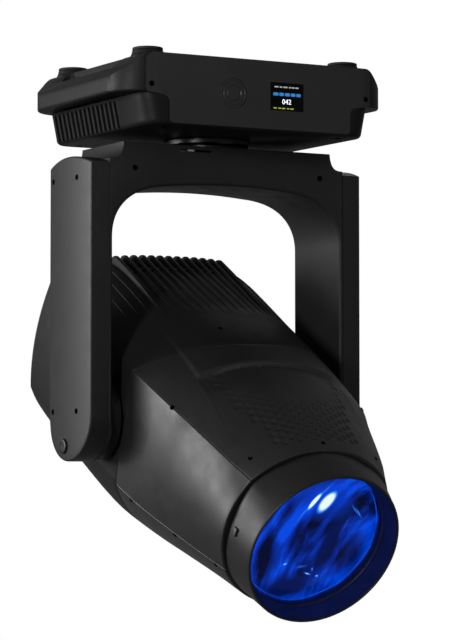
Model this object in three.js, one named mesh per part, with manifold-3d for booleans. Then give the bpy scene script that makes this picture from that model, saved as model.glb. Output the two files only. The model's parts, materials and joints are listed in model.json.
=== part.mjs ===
// Moving head light, hanging from its base: base on top, yoke below it, head tilted to the front.
// Millimetres, +Z up, +X to the right seen from the front, the front towards -Y.
// Origin: centre of the mounting plate's outer face, on the pan axis.
import * as THREE from 'three';
import { mergeVertices } from 'three/addons/utils/BufferGeometryUtils.js';
import Module from 'manifold-3d';

const wasm = await Module();
wasm.setup();

// ---------- driving dimensions ----------
const GAP = 0.3;                      // between neighbouring pieces
const JOINT_GAP = 0.9;                // seam between the head's front cowl and rear housing

const BASE_REAR = 150;
const FRONT_FACE = 153;               // front panel, flush with the casting and housing
const CASTING_HALF_WIDTH = 209;       // over the carrying handles
const CASTING_TOP = 5;
const CASTING_BOTTOM = -48;
const HOUSING_HALF_WIDTH = 177.5;     // lower housing at its top edge
const HOUSING_BOTTOM = -91;
const FOOT_X = 152;
const FOOT_Y = 113;
const FOOT_TOP = 15.5;
const FOOT_RADIUS = 21;
const SCREW_X = 166;                  // front panel screws
const SCREW_Z = -38;
const DISPLAY = { x: 40, z: -43, width: 52, height: 38 };
const BADGE = { x: -42.5, z: -43, radius: 20 };
const VENT_HALF_LENGTH = 98;
const VENT_Y = 28;
const VENT_SLOTS = 15;

const PLATE_HALF_WIDTH = 111;         // rear connector plate
const SOCKET_Z = -48;
const SOCKET_REAR = 150.5;            // outer rim of the sockets
const SOCKET_DEPTH = 24;
const INLET = { x: -84, halfWidth: 13, halfHeight: 16 };
const SOCKETS = [-40, -8, 26, 60].map((x) => ({ x, halfWidth: 12, halfHeight: 12.5 }));

const YOKE_TOP = -105;                // crossbar block
const YOKE_HALF_DEPTH = 63.5;
const OPENING_HALF_WIDTH = 177.6;     // between the arms' inner faces
const ARM_SEAM = 183;                 // inner frame meets the outer arm cover
const ARM_CORNER = 211;               // front edge of the arm cover
const ARM_CROWN = 215;                // most prominent line of the arm cover
const ARM_TOP = -134;
const ARM_CROWN_TOP = -123;
const TILT_Z = -475;
const TILT_REST = 61;                 // degrees forward of straight down
const ARM_END_HEIGHT = 60.5;          // arm's round end below the tilt axis

const PAN_MOTOR_X = 102;
const PAN_PULLEY_RADIUS = 44;         // fixed to the base
const SMALL_PAN_RADIUS = 10;          // on the pan motor
const BELT_THICKNESS = 1.6;
const SHAFT_RADIUS = 24;
const TILT_BELT_X = 206.5;            // outer face of the tilt drive's pulleys, in the left arm
const TILT_MOTOR_RISE = 190;          // motor axis above the tilt axis
const TILT_PULLEY_RADIUS = 42;
const SMALL_TILT_RADIUS = 9;
const HUB_RADIUS = 58;
const REAR_JOINT = -236;              // rear cap meets the rear housing
const REAR_FACE = -257;
const COWL_FRONT = 305;
const RING_REAR = 308;
const RING_FRONT = 360.7;
const RING_RADIUS = 108.6;
const LENS_RADIUS = 107;
const CAP_TOP = 109;                  // rear cap's upper edge, level with the fin slots' floors
const FAN_X = 62;                     // the two rear fans
const FAN_V = -16;
const FAN_RADIUS = 52;
const RAIL_X = 92;                    // guide rails of the lens carriages
const RAIL_RADIUS = 4;
const FIN_PITCH = 13.84;
const SLOT_WIDTH = 7.6;
const FIN_CUT = -172;                 // the deep slots between the fins end here

// Head section along its axis: [distance ahead of the tilt axis, value].
const TOP = [[-257, 118], [-250, 126], [-236, 136.5], [-170, 149], [-30, 152], [75, 150],
  [125, 146], [190, 139], [279, 121.5], [305, 115.5]];
const TOP_POWER = [[-257, 3.3], [-170, 3.1], [-30, 2.7], [75, 2.5], [305, 2.4]];
const CREASE_U = [[-257, 150], [-236, 160], [-110, 157.5], [-60, 156.2], [34, 156.6], [149, 146],
  [190, 134.5], [270, 113.5], [305, 101]];
const CREASE_V = [[-257, 78], [-236, 85], [34, 92], [149, 92], [190, 87.5], [270, 78], [305, 72]];
const BULGE = [[-257, 7], [-236, 7], [-80, 4], [34, 3], [150, 7], [190, 10], [270, 15], [305, 19]];
const SEAM_U = [[-257, 145], [-236, 154], [19, 155], [113, 145], [167, 135], [251, 117], [305, 104]];
const SEAM_V = [[-257, -74], [-236, -78], [19, -69], [113, -69], [213, -65], [305, -60]];
const BOTTOM = [[-257, -158], [-236, -169], [-101, -172], [0, -171], [61, -161], [111, -151],
  [165, -139.5], [251, -123], [305, -116]];

// ---------- materials ----------
const paint = (color, roughness, metalness = 0) =>
  new THREE.MeshStandardMaterial({ color, roughness, metalness });
const blackShell = paint(0x1c1c1d, 0.5);
const blackCasting = paint(0x202122, 0.55, 0.2);
const darkMetal = paint(0x2a2b2d, 0.45, 0.7);
const steel = paint(0xb4b6b8, 0.3, 1);
const aluminium = paint(0x9b9da0, 0.4, 0.9);
const rubber = paint(0x0d0d0d, 0.85);
const screen = paint(0x05070a, 0.1);
const glass = paint(0x1a55ff, 0.05);
const brass = paint(0xb9923f, 0.35, 1);
const board = paint(0x14402a, 0.6);
const dichroic = paint(0x5066d8, 0.15, 0.4);

// ---------- solid helpers ----------
function solid(geometry) {
  const bare = geometry.clone();
  bare.deleteAttribute('normal');
  bare.deleteAttribute('uv');
  const merged = mergeVertices(bare, 1e-4);
  return new wasm.Manifold(new wasm.Mesh({
    numProp: 3,
    vertProperties: new Float32Array(merged.attributes.position.array),
    triVerts: new Uint32Array(merged.index.array),
  }));
}

function piece(name, body, material) {
  const mesh = body.getMesh();
  const geometry = new THREE.BufferGeometry();
  geometry.setAttribute('position', new THREE.BufferAttribute(new Float32Array(mesh.vertProperties), 3));
  geometry.setIndex(new THREE.BufferAttribute(new Uint32Array(mesh.triVerts), 1));
  geometry.computeVertexNormals();
  const result = new THREE.Mesh(geometry, material);
  result.name = name;
  return result;
}

function box(x0, x1, y0, y1, z0, z1) {
  const geometry = new THREE.BoxGeometry(x1 - x0, y1 - y0, z1 - z0);
  geometry.translate((x0 + x1) / 2, (y0 + y1) / 2, (z0 + z1) / 2);
  return solid(geometry);
}

// A shape drawn in (x, y), raised from z0 to z1.
function prismZ(shape, z0, z1, curveSegments = 8) {
  const geometry = new THREE.ExtrudeGeometry(shape, { depth: z1 - z0, bevelEnabled: false, curveSegments });
  geometry.translate(0, 0, z0);
  return solid(geometry);
}

// A shape drawn in (x, z), running from y0 to y1.
function prismY(shape, y0, y1, curveSegments = 8) {
  const geometry = new THREE.ExtrudeGeometry(shape, { depth: y1 - y0, bevelEnabled: false, curveSegments });
  geometry.rotateX(Math.PI / 2);
  geometry.translate(0, y1, 0);
  return solid(geometry);
}

// A shape drawn in (y, z), running from x0 to x1.
function prismX(shape, x0, x1, curveSegments = 8) {
  const geometry = new THREE.ExtrudeGeometry(shape, { depth: x1 - x0, bevelEnabled: false, curveSegments });
  const turn = new THREE.Matrix4().makeBasis(
    new THREE.Vector3(0, 1, 0), new THREE.Vector3(0, 0, 1), new THREE.Vector3(1, 0, 0));
  geometry.applyMatrix4(turn);
  geometry.translate(x0, 0, 0);
  return solid(geometry);
}

// A closed profile of [radius, height] points, listed either way round, turned about Z.
function turned(profile, segments = 40) {
  const points = profile.map(([r, z]) => new THREE.Vector2(r, z));
  if (THREE.ShapeUtils.area(points) < 0) points.reverse();
  points.push(points[0].clone());
  const geometry = new THREE.LatheGeometry(points, segments);
  geometry.rotateX(Math.PI / 2);
  return solid(geometry);
}

function rodZ(radius, z0, z1, x = 0, y = 0, segments = 18) {
  const geometry = new THREE.CylinderGeometry(radius, radius, z1 - z0, segments);
  geometry.rotateX(Math.PI / 2);
  geometry.translate(x, y, (z0 + z1) / 2);
  return solid(geometry);
}

function rodX(radius, x0, x1, y = 0, z = 0, segments = 20) {
  const geometry = new THREE.CylinderGeometry(radius, radius, x1 - x0, segments);
  geometry.rotateZ(Math.PI / 2);
  geometry.translate((x0 + x1) / 2, y, z);
  return solid(geometry);
}

function rodY(radius, y0, y1, x = 0, z = 0, segments = 18) {
  const geometry = new THREE.CylinderGeometry(radius, radius, y1 - y0, segments);
  geometry.translate(x, (y0 + y1) / 2, z);
  return solid(geometry);
}

function roundedRectangle(halfWidth, halfHeight, radius, x = 0, y = 0) {
  const shape = new THREE.Shape();
  shape.moveTo(x + halfWidth, y - halfHeight + radius);
  shape.lineTo(x + halfWidth, y + halfHeight - radius);
  shape.absarc(x + halfWidth - radius, y + halfHeight - radius, radius, 0, Math.PI / 2);
  shape.lineTo(x - halfWidth + radius, y + halfHeight);
  shape.absarc(x - halfWidth + radius, y + halfHeight - radius, radius, Math.PI / 2, Math.PI);
  shape.lineTo(x - halfWidth, y - halfHeight + radius);
  shape.absarc(x - halfWidth + radius, y - halfHeight + radius, radius, Math.PI, Math.PI * 1.5);
  shape.lineTo(x + halfWidth - radius, y - halfHeight);
  shape.absarc(x + halfWidth - radius, y - halfHeight + radius, radius, Math.PI * 1.5, Math.PI * 2);
  return shape;
}

function polygon(points) {
  return new THREE.Shape(points.map(([a, b]) => new THREE.Vector2(a, b)));
}

// ---------- base ----------
function plan(halfWidth, radius, inset = 0) {
  const halfDepth = (BASE_REAR + FRONT_FACE) / 2;
  return roundedRectangle(halfWidth - inset, halfDepth - inset, radius - inset, 0, BASE_REAR - halfDepth);
}

function castingPlan() {
  return prismZ(plan(CASTING_HALF_WIDTH, 52), -100, 20, 6);
}

function baseCasting() {
  const front = new THREE.Shape();
  front.moveTo(0, CASTING_TOP);
  front.lineTo(-168, CASTING_TOP);
  front.bezierCurveTo(-178, 2, -184, -9, -200, -19);
  front.quadraticCurveTo(-209, -24, -209, -32);
  front.lineTo(-209, CASTING_BOTTOM + 5);
  front.lineTo(-204, CASTING_BOTTOM);
  front.lineTo(204, CASTING_BOTTOM);
  front.lineTo(209, CASTING_BOTTOM + 5);
  front.lineTo(209, -32);
  front.quadraticCurveTo(209, -24, 200, -19);
  front.bezierCurveTo(184, -9, 178, 2, 168, CASTING_TOP);
  let body = castingPlan().intersect(prismY(front, -160, 160, 5));
  body = body.subtract(box(-158, 158, -143, 143, -50, -8));
  body = body.subtract(box(-129, 129, -91, 91, -10, 10));
  body = body.subtract(frontPanelSolid(GAP));
  for (const side of [-1, 1]) {
    body = body.subtract(prismZ(roundedRectangle(11.5, 82, 11, side * 177), -60, 20, 4));
    for (const end of [-1, 1]) {
      body = body.add(rodZ(FOOT_RADIUS, CASTING_TOP - 6, FOOT_TOP - 4, side * FOOT_X, end * FOOT_Y, 20));
    }
  }
  return body.subtract(box(-112, 112, 138, 160, -60, -12));
}

function mountingPlate() {
  return box(-128, 128, -90, 90, -7.5, 0);
}

function footPad(x, y) {
  return rodZ(FOOT_RADIUS - 0.5, FOOT_TOP - 4 + GAP, FOOT_TOP, x, y, 20);
}

function frontPanelShape() {
  const shape = new THREE.Shape();
  shape.moveTo(-136, -88);
  shape.lineTo(136, -88);
  shape.lineTo(140, -84);
  shape.lineTo(140, -52);
  shape.lineTo(174, -48);
  shape.lineTo(174, -2);
  shape.quadraticCurveTo(172, CASTING_TOP, 160, CASTING_TOP);
  shape.lineTo(-160, CASTING_TOP);
  shape.quadraticCurveTo(-172, CASTING_TOP, -174, -2);
  shape.lineTo(-174, -48);
  shape.lineTo(-140, -52);
  shape.lineTo(-140, -84);
  return shape;
}

function frontPanelSolid(grow) {
  const panel = prismY(frontPanelShape(), -FRONT_FACE - grow, -146.5 + grow);
  return grow > 0 ? panel.add(box(-174.3, 174.3, -FRONT_FACE - 1, -146.2, -48.3, -2))
    : panel.intersect(castingPlan());
}

function displayRecess(depthIn) {
  const halfW = DISPLAY.width / 2;
  const halfH = DISPLAY.height / 2;
  return box(DISPLAY.x - halfW, DISPLAY.x + halfW, -FRONT_FACE - 1, -FRONT_FACE + depthIn,
    DISPLAY.z - halfH, DISPLAY.z + halfH);
}

function frontPanel() {
  let panel = frontPanelSolid(0);
  panel = panel.subtract(displayRecess(10));
  panel = panel.subtract(rodY(BADGE.radius + GAP, -FRONT_FACE - 1, -FRONT_FACE + 2, BADGE.x, BADGE.z, 24));
  for (const side of [-1, 1]) {
    panel = panel.subtract(rodY(3, -FRONT_FACE - 1, -FRONT_FACE + 3, side * SCREW_X, SCREW_Z, 12));
  }
  return panel;
}

function displayWindow() {
  const halfW = DISPLAY.width / 2 - GAP;
  const halfH = DISPLAY.height / 2 - GAP;
  return box(DISPLAY.x - halfW, DISPLAY.x + halfW, -FRONT_FACE + 0.6, -FRONT_FACE + 6,
    DISPLAY.z - halfH, DISPLAY.z + halfH);
}

function badgeDisc() {
  return rodY(BADGE.radius, -FRONT_FACE + 0.2, -FRONT_FACE + 1.7, BADGE.x, BADGE.z, 24);
}

// Lower housing with drafted flanks and a chamfered bottom edge, or its hollow when inset.
function housingSolid(inset) {
  const top = inset ? CASTING_BOTTOM + 5 : CASTING_BOTTOM - GAP;
  const bottom = HOUSING_BOTTOM + inset;
  const flanks = prismY(polygon([[-HOUSING_HALF_WIDTH + inset, top], [-170 + inset, bottom + 6],
    [-163 + inset, bottom], [163 - inset, bottom], [170 - inset, bottom + 6],
    [HOUSING_HALF_WIDTH - inset, top]]), -160, 160);
  const front = -FRONT_FACE + inset;
  const rear = BASE_REAR - inset;
  const ends = prismX(polygon([[front, top], [front, bottom + 4.5], [front + 6, bottom],
    [rear - 6, bottom], [rear, bottom + 4.5], [rear, top]]), -185, 185);
  return flanks.intersect(ends).intersect(prismZ(plan(HOUSING_HALF_WIDTH, 28, inset), -100, -40, 6));
}

function baseHousing() {
  let body = housingSolid(0).subtract(housingSolid(3));
  body = body.subtract(frontPanelSolid(GAP));
  body = body.subtract(rodZ(48, -100, -80, 0, 0, 28));
  for (const side of [-1, 1]) {
    body = body.subtract(ventOpening(side, GAP));
  }
  return body.subtract(box(-112, 112, 140, 160, -84, -30));
}

// The louvred side panels fill an opening in the housing's flank.
function ventOpening(side, grow) {
  const halfLength = VENT_HALF_LENGTH + grow;
  return box(side > 0 ? 158 : -190, side > 0 ? 190 : -158, VENT_Y - halfLength, VENT_Y + halfLength,
    -89 - grow, -53 + grow);
}

function ventPanel(side) {
  let panel = housingSolid(0).intersect(ventOpening(side, 0)).subtract(housingSolid(9));
  const pitch = 2 * VENT_HALF_LENGTH / VENT_SLOTS;
  for (let i = 0; i < VENT_SLOTS; i++) {
    const y = VENT_Y - VENT_HALF_LENGTH + (i + 0.5) * pitch;
    const slot = box(side > 0 ? 150 : -190, side > 0 ? 190 : -150, y - pitch * 0.27, y + pitch * 0.27,
      -86, -56);
    panel = panel.subtract(slot);
  }
  return panel;
}

// Rear plate behind the sockets, with a cut-out for each of them.
function connectorPlate() {
  let plate = box(-PLATE_HALF_WIDTH, PLATE_HALF_WIDTH, 144.5, 149, -83.7, -13);
  for (const { x, halfWidth, halfHeight } of [INLET, ...SOCKETS]) {
    plate = plate.subtract(box(x - halfWidth - GAP, x + halfWidth + GAP, 140, 155,
      SOCKET_Z - halfHeight - GAP, SOCKET_Z + halfHeight + GAP));
  }
  return plate;
}

function socketBody({ x, halfWidth, halfHeight }) {
  return box(x - halfWidth, x + halfWidth, SOCKET_REAR - SOCKET_DEPTH, SOCKET_REAR,
    SOCKET_Z - halfHeight, SOCKET_Z + halfHeight);
}

function powerInlet() {
  const mouth = box(INLET.x - 10, INLET.x + 10, 132, 155, SOCKET_Z - 13, SOCKET_Z + 13);
  const core = box(INLET.x - 4, INLET.x + 4, 130, 148, SOCKET_Z - 3, SOCKET_Z + 3);
  return socketBody(INLET).subtract(mouth).add(core);
}

function dataSocket(socket) {
  return socketBody(socket).subtract(rodY(9.5, SOCKET_REAR - 16, 160, socket.x, SOCKET_Z, 16));
}

function networkSocket(socket) {
  return socketBody(socket).subtract(box(socket.x - 8, socket.x + 8, SOCKET_REAR - 16, 160,
    SOCKET_Z - 7, SOCKET_Z + 7));
}

function bearingRing() {
  const profile = [[35, -88], [47.5, -88], [47.5, -91.3], [60, -91.3], [60, -98], [57, -101.5],
    [35, -101.5]];
  return turned(profile, 28);
}

// Hollow spindle fixed to the base; the pan pulley at its foot is inside the crossbar.
function panSpindle() {
  const profile = [[22, -58], [52, -58], [52, -64], [34.5, -64], [34.5, -112], [PAN_PULLEY_RADIUS, -112],
    [PAN_PULLEY_RADIUS, -122],
    [22, -122]];
  return turned(profile, 20);
}

function powerSupply() {
  return box(-128, -62, -110, 90, -84, -22).add(box(-120, -70, -100, 80, -86, -84));
}

function controlBoard() {
  return box(8, 118, -136, -134, -80, -14).add(box(16, 66, -134.2, -126, -62, -24));
}

// ---------- yoke ----------
function archOutline() {
  const inner = OPENING_HALF_WIDTH;
  const shape = new THREE.Shape();
  shape.moveTo(-inner, -600);
  shape.lineTo(inner, -600);
  shape.lineTo(inner, -234);
  shape.bezierCurveTo(inner, -194, 150, -165.5, 92, -162);
  shape.quadraticCurveTo(46, -157.5, 0, -157.5);
  shape.quadraticCurveTo(-46, -157.5, -92, -162);
  shape.bezierCurveTo(-150, -165.5, -inner, -194, -inner, -234);
  return shape;
}

function yokeOutline() {
  const shape = new THREE.Shape();
  shape.moveTo(-162, YOKE_TOP);
  shape.quadraticCurveTo(-163.5, -127, -176.6, -128);
  shape.lineTo(-ARM_SEAM, -128.6);
  shape.lineTo(-ARM_SEAM, -560);
  shape.lineTo(ARM_SEAM, -560);
  shape.lineTo(ARM_SEAM, -128.6);
  shape.lineTo(176.6, -128);
  shape.quadraticCurveTo(163.5, -127, 162, YOKE_TOP);
  return shape;
}

// Side view of an arm: domed top, straight edges, round end about the tilt axis.
function armSide(inset, top = 0) {
  const half = YOKE_HALF_DEPTH - inset;
  const shape = new THREE.Shape();
  shape.moveTo(-half, TILT_Z);
  shape.lineTo(-half, ARM_TOP - inset + top);
  shape.quadraticCurveTo(0, 2 * ARM_CROWN_TOP - ARM_TOP - inset + top, half, ARM_TOP - inset + top);
  shape.lineTo(half, TILT_Z);
  shape.absellipse(0, TILT_Z, half, ARM_END_HEIGHT - inset, 0, -Math.PI, true);
  return shape;
}

function yokeFrame() {
  const tall = armSide(0, 30);
  let body = prismY(yokeOutline(), -YOKE_HALF_DEPTH, YOKE_HALF_DEPTH, 6);
  body = body.subtract(prismY(archOutline(), -80, 80, 8));
  body = body.intersect(prismX(tall, -200, 200, 9).add(box(-200, 200, -70, 70, -170, -100)));
  body = body.subtract(box(-148, 148, -59, 80, -148, -111));
  body = body.subtract(rodZ(36, -120, -100, 0, 0, 24));
  body = body.subtract(box(-76, -26, -70, -56, -114.5, -109.5));
  for (const side of [-1, 1]) {
    body = body.subtract(rodX(SHAFT_RADIUS + 0.6, side > 0 ? 170 : -190, side > 0 ? 190 : -170, 0, TILT_Z));
    body = body.subtract(rodY(2.6, -65, -60, side * 145, -140, 12));
    body = body.add(armRib(side));
  }
  return body;
}

// Stiffening flange that stands inside the arm cover.
function armRib(side) {
  const outer = prismX(armSide(12, -12), side > 0 ? 182 : -192, side > 0 ? 192 : -182, 6);
  const inner = prismX(armSide(16, -16), side > 0 ? 180 : -195, side > 0 ? 195 : -180, 6);
  return outer.subtract(inner);
}

function armCoverPlan(inset) {
  const half = YOKE_HALF_DEPTH - inset;
  const shape = new THREE.Shape();
  shape.moveTo(ARM_SEAM - 2, -half);
  shape.lineTo(ARM_CORNER - 4 - inset, -half);
  shape.quadraticCurveTo(ARM_CORNER - inset, -half, ARM_CORNER + 0.6 - inset, -half + 4);
  shape.quadraticCurveTo(ARM_CROWN + 3.3 - inset, 0, ARM_CORNER + 0.6 - inset, half - 4);
  shape.quadraticCurveTo(ARM_CORNER - inset, half, ARM_CORNER - 4 - inset, half);
  shape.lineTo(ARM_SEAM - 2, half);
  return shape;
}

function armCover(side) {
  const outer = prismZ(armCoverPlan(0), -600, 0, 4).intersect(prismX(armSide(0), 170, 230, 9));
  const inner = prismZ(armCoverPlan(3), -600, 0, 3).intersect(prismX(armSide(3), 170, 230, 6));
  let body = outer.subtract(inner);
  body = body.intersect(box(ARM_SEAM + GAP, 230, -80, 80, -600, 0));
  if (side < 0) {
    body = body.subtract(rodX(10.6, 200, 230, -9.4, TILT_Z - 40));
  }
  for (const [y, z] of [[-26, -153], [49, -153], [-26, -468], [49, -468]]) {
    body = body.subtract(rodX(2.6, 209.5, 230, side < 0 ? -y : y, z, 10));
  }
  return side > 0 ? body : body.rotate([0, 0, 180]);
}

function crossbarRearCover() {
  const plate = prismY(roundedRectangle(147.5, 18, 6, 0, -129.5), 60, YOKE_HALF_DEPTH - 0.2, 4);
  return plate;
}

function panLockLever() {
  const tongue = box(-66, -56, -66.5, -50, -113.7, -111.3);
  return tongue.add(box(-70, -52, -54, -50, -113.7, -111.3));
}

function tiltLockButton() {
  const button = turned([[0, 0], [10, 0], [10, 7.3], [8.4, 8.7], [0, 8.7]], 20);
  return button.rotate([0, -90, 0]).translate([-209.3, 9.4, TILT_Z - 40]);
}

function panMotor() {
  return box(PAN_MOTOR_X - 20, PAN_MOTOR_X + 20, -20, 20, -147.5, -123.5);
}

function tiltMotor() {
  const body = box(-196.3, -184, -24, 24, TILT_Z + TILT_MOTOR_RISE - 24, TILT_Z + TILT_MOTOR_RISE + 24);
  return body.add(rodX(2.5, -206, -196, 0, TILT_Z + TILT_MOTOR_RISE, 12));
}

// Put in the left arm with its outer face at the drive's plane, at a height above the tilt axis.
function inLeftArm(body, rise) {
  return body.rotate([0, 90, 0]).translate([-TILT_BELT_X, 0, TILT_Z + rise]);
}

function pulley(radius, width, bore) {
  const flange = radius + 1.8;
  return turned([[bore, 0], [flange, 0], [flange, 1.4], [radius, 1.4], [radius, width - 1.4],
    [flange, width - 1.4], [flange, width], [bore, width]], 16);
}

function beltLoop(largeRadius, smallRadius, distance, width) {
  const arcSteps = 18;
  const outline = (grow) => {
    const a = largeRadius + grow;
    const b = smallRadius + grow;
    const lean = Math.asin((a - b) / distance);
    const shape = new THREE.Shape();
    shape.absarc(0, 0, a, Math.PI / 2 - lean, Math.PI * 1.5 + lean);
    shape.absarc(distance, 0, b, -Math.PI / 2 + lean, Math.PI / 2 - lean);
    return shape;
  };
  return prismZ(outline(BELT_THICKNESS + GAP), 0, width, arcSteps)
    .subtract(prismZ(outline(GAP), -1, width + 1, arcSteps));
}

// ---------- head: x across, y to the head's top, z forward along the beam ----------
function along(table, s) {
  const last = table.length - 1;
  if (s <= table[0][0]) return table[0][1];
  if (s >= table[last][0]) return table[last][1];
  const i = table.findIndex(([at]) => at >= s) - 1;
  const [s0, a] = table[i];
  const [s1, b] = table[i + 1];
  const slope = (j) => {
    const lo = table[Math.max(j - 1, 0)];
    const hi = table[Math.min(j + 1, last)];
    return (hi[1] - lo[1]) / (hi[0] - lo[0]);
  };
  const h = s1 - s0;
  const t = (s - s0) / h;
  const t2 = t * t;
  const t3 = t2 * t;
  return a * (2 * t3 - 3 * t2 + 1) + h * slope(i) * (t3 - 2 * t2 + t)
    + b * (3 * t2 - 2 * t3) + h * slope(i + 1) * (t3 - t2);
}

const TOP_STEPS = 6;                  // outline points from top centre to the crease
const SIDE_STEPS = 4;                 // from the crease to the bottom seam
const BOTTOM_STEPS = 6;               // from the bottom seam to bottom centre
const HALF_STEPS = TOP_STEPS + SIDE_STEPS + BOTTOM_STEPS;

// Point of the right half outline at station s: step 0 is top centre, HALF_STEPS bottom centre.
function halfOutline(step, s) {
  const creaseU = along(CREASE_U, s);
  const creaseV = along(CREASE_V, s);
  const seamU = along(SEAM_U, s);
  const seamV = along(SEAM_V, s);
  if (step <= TOP_STEPS) {
    const t = Math.sin(step / TOP_STEPS * Math.PI / 2.2) / Math.sin(Math.PI / 2.2);
    const top = along(TOP, s);
    return [creaseU * t, top - (top - creaseV) * t ** along(TOP_POWER, s)];
  }
  if (step <= TOP_STEPS + SIDE_STEPS) {
    const t = (step - TOP_STEPS) / SIDE_STEPS;
    const out = 4 * t * (1 - t) * along(BULGE, s);
    return [creaseU + (seamU - creaseU) * t + out, creaseV + (seamV - creaseV) * t];
  }
  const t = (step - TOP_STEPS - SIDE_STEPS) / BOTTOM_STEPS;
  const drop = seamV - along(BOTTOM, s);
  const radius = (seamU * seamU + drop * drop) / (2 * drop);
  const angle = Math.asin(Math.min(seamU / radius, 1)) * (1 - t);
  return [radius * Math.sin(angle), along(BOTTOM, s) + radius * (1 - Math.cos(angle))];
}

// Whole outline, steps 0..2*HALF_STEPS clockwise seen from behind, and its inward offset.
function outline(step, s) {
  const count = 2 * HALF_STEPS;
  const k = ((step % count) + count) % count;
  if (k <= HALF_STEPS) return halfOutline(k, s);
  const [u, v] = halfOutline(count - k, s);
  return [-u, v];
}

function insetOutline(step, s, thickness) {
  const [u, v] = outline(step, s);
  const [u0, v0] = outline(step - 0.5, s);
  const [u1, v1] = outline(step + 0.5, s);
  const length = Math.hypot(u1 - u0, v1 - v0);
  return [u + (v1 - v0) / length * thickness, v - (u1 - u0) / length * thickness];
}

// Closed shell between an outer and an inner grid of points; columns may close round.
function shell(columns, rows, closed, outer, inner) {
  const positions = [];
  const faces = [];
  const width = closed ? columns : columns + 1;
  for (const side of [outer, inner]) {
    for (let k = 0; k <= rows; k++) {
      for (let i = 0; i < width; i++) positions.push(...side(i, k));
    }
  }
  const at = (layer, i, k) => layer * width * (rows + 1) + k * width + (closed ? i % columns : i);
  const quad = (a, b, c, d) => faces.push(a, b, c, a, c, d);
  for (let i = 0; i < columns; i++) {
    for (let k = 0; k < rows; k++) {
      quad(at(0, i, k), at(0, i, k + 1), at(0, i + 1, k + 1), at(0, i + 1, k));
      quad(at(1, i, k), at(1, i + 1, k), at(1, i + 1, k + 1), at(1, i, k + 1));
    }
    quad(at(0, i, 0), at(0, i + 1, 0), at(1, i + 1, 0), at(1, i, 0));
    quad(at(0, i, rows), at(1, i, rows), at(1, i + 1, rows), at(0, i + 1, rows));
  }
  if (!closed) {
    for (let k = 0; k < rows; k++) {
      quad(at(0, 0, k), at(1, 0, k), at(1, 0, k + 1), at(0, 0, k + 1));
      quad(at(0, columns, k), at(0, columns, k + 1), at(1, columns, k + 1), at(1, columns, k));
    }
  }
  const geometry = new THREE.BufferGeometry();
  geometry.setAttribute('position', new THREE.Float32BufferAttribute(positions, 3));
  geometry.setIndex(faces);
  return solid(geometry);
}

// The front cowl meets the rear housing on a line that reaches furthest forward at the top.
function jointLine(step) {
  const count = 2 * HALF_STEPS;
  const k = Math.min(((step % count) + count) % count, count - ((step % count) + count) % count);
  if (k <= TOP_STEPS) return 75 - 33 * (k / TOP_STEPS) ** 2;
  return 42 + 20 * Math.min((k - TOP_STEPS) / SIDE_STEPS, 1);
}

function strip(firstStep, lastStep, stations, thickness, trim) {
  const columns = lastStep - firstStep;
  const lay = (inset) => (i, k) => {
    const edge = i === 0 ? trim : (i === columns ? -trim : 0);
    const step = firstStep + i;
    const start = jointLine(step) + JOINT_GAP;
    const s = start + (COWL_FRONT - start) * k / stations;
    const [u, v] = inset ? insetOutline(step + edge, s, thickness) : outline(step + edge, s);
    return [u, v, s];
  };
  return shell(columns, stations, false, lay(false), lay(true));
}

function rearHousing() {
  const stations = 5;
  const columns = 2 * HALF_STEPS;
  const lay = (thickness) => (i, k) => {
    const s = REAR_JOINT + (jointLine(i) - REAR_JOINT) * k / stations;
    const [u, v] = thickness ? insetOutline(i, s, thickness) : outline(i, s);
    return [u, thickness ? Math.min(v, 104) : v, s];
  };
  let body = shell(columns, stations, true, lay(0), lay(4));
  for (const slot of finSlots()) body = body.subtract(slot);
  for (const fin of fins()) body = body.add(fin);
  return body.subtract(rodX(SHAFT_RADIUS + 0.5, -180, 180));
}

// Slots between the cooling fins: deep and open at the rear, fading out towards the middle.
function finSlots() {
  const slots = [];
  for (let i = -6; i < 6; i++) {
    const u = (i + 0.5) * FIN_PITCH;
    const half = SLOT_WIDTH / 2;
    slots.push(box(u - half, u + half, 110, 170, REAR_JOINT - 2, FIN_CUT));
    const fade = polygon([[140, -166], [151.6, -30], [175, -30], [175, -166]]);
    slots.push(prismX(fade, u - half, u + half));
  }
  for (const side of [-1, 1]) {
    for (let i = 0; i < 4; i++) {
      const u = side * (6 * FIN_PITCH + 7 + i * 12.5);
      const [, surface] = outlineAtWidth(Math.abs(u), -160);
      const fade = polygon([[surface - 9, REAR_JOINT + 6], [surface + 3, -40], [surface + 40, -40],
        [surface + 40, REAR_JOINT + 6]]);
      slots.push(prismX(fade, u - 3, u + 3));
    }
  }
  const slope = polygon([[122, REAR_JOINT - 1], [122, REAR_JOINT + 0.3], [145, -220], [170, -220],
    [170, REAR_JOINT - 1]]);
  slots.push(prismX(slope, -6.3 * FIN_PITCH, 6.3 * FIN_PITCH));
  return slots;
}

// The fins' straight tops stand above the housing's rounded shoulders and run out into it.
function fins() {
  const blades = [];
  for (let i = -6; i <= 6; i++) {
    const u = i * FIN_PITCH;
    const half = (FIN_PITCH - SLOT_WIDTH) / 2;
    const top = 150.2 - 3.4 * Math.abs(i / 6) ** 3;
    const [, merge] = outlineAtWidth(Math.abs(u), -35);
    blades.push(prismX(polygon([[106, REAR_JOINT + 0.3], [122, REAR_JOINT + 0.3], [top - 5, -220],
      [top, -213], [top, FIN_CUT], [merge, -35], [106, -35]]), u - half, u + half));
  }
  return blades;
}

function outlineAtWidth(u, s) {
  const top = along(TOP, s);
  const t = u / along(CREASE_U, s);
  return [u, top - (top - along(CREASE_V, s)) * t ** along(TOP_POWER, s)];
}

// The rear cap stands a little lower than the fin ends, so air leaves between them.
function capOutline(step, s, thickness) {
  const [u, v] = thickness ? insetOutline(step, s, thickness) : outline(step, s);
  return [u, Math.min(v, CAP_TOP - thickness)];
}

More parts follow.
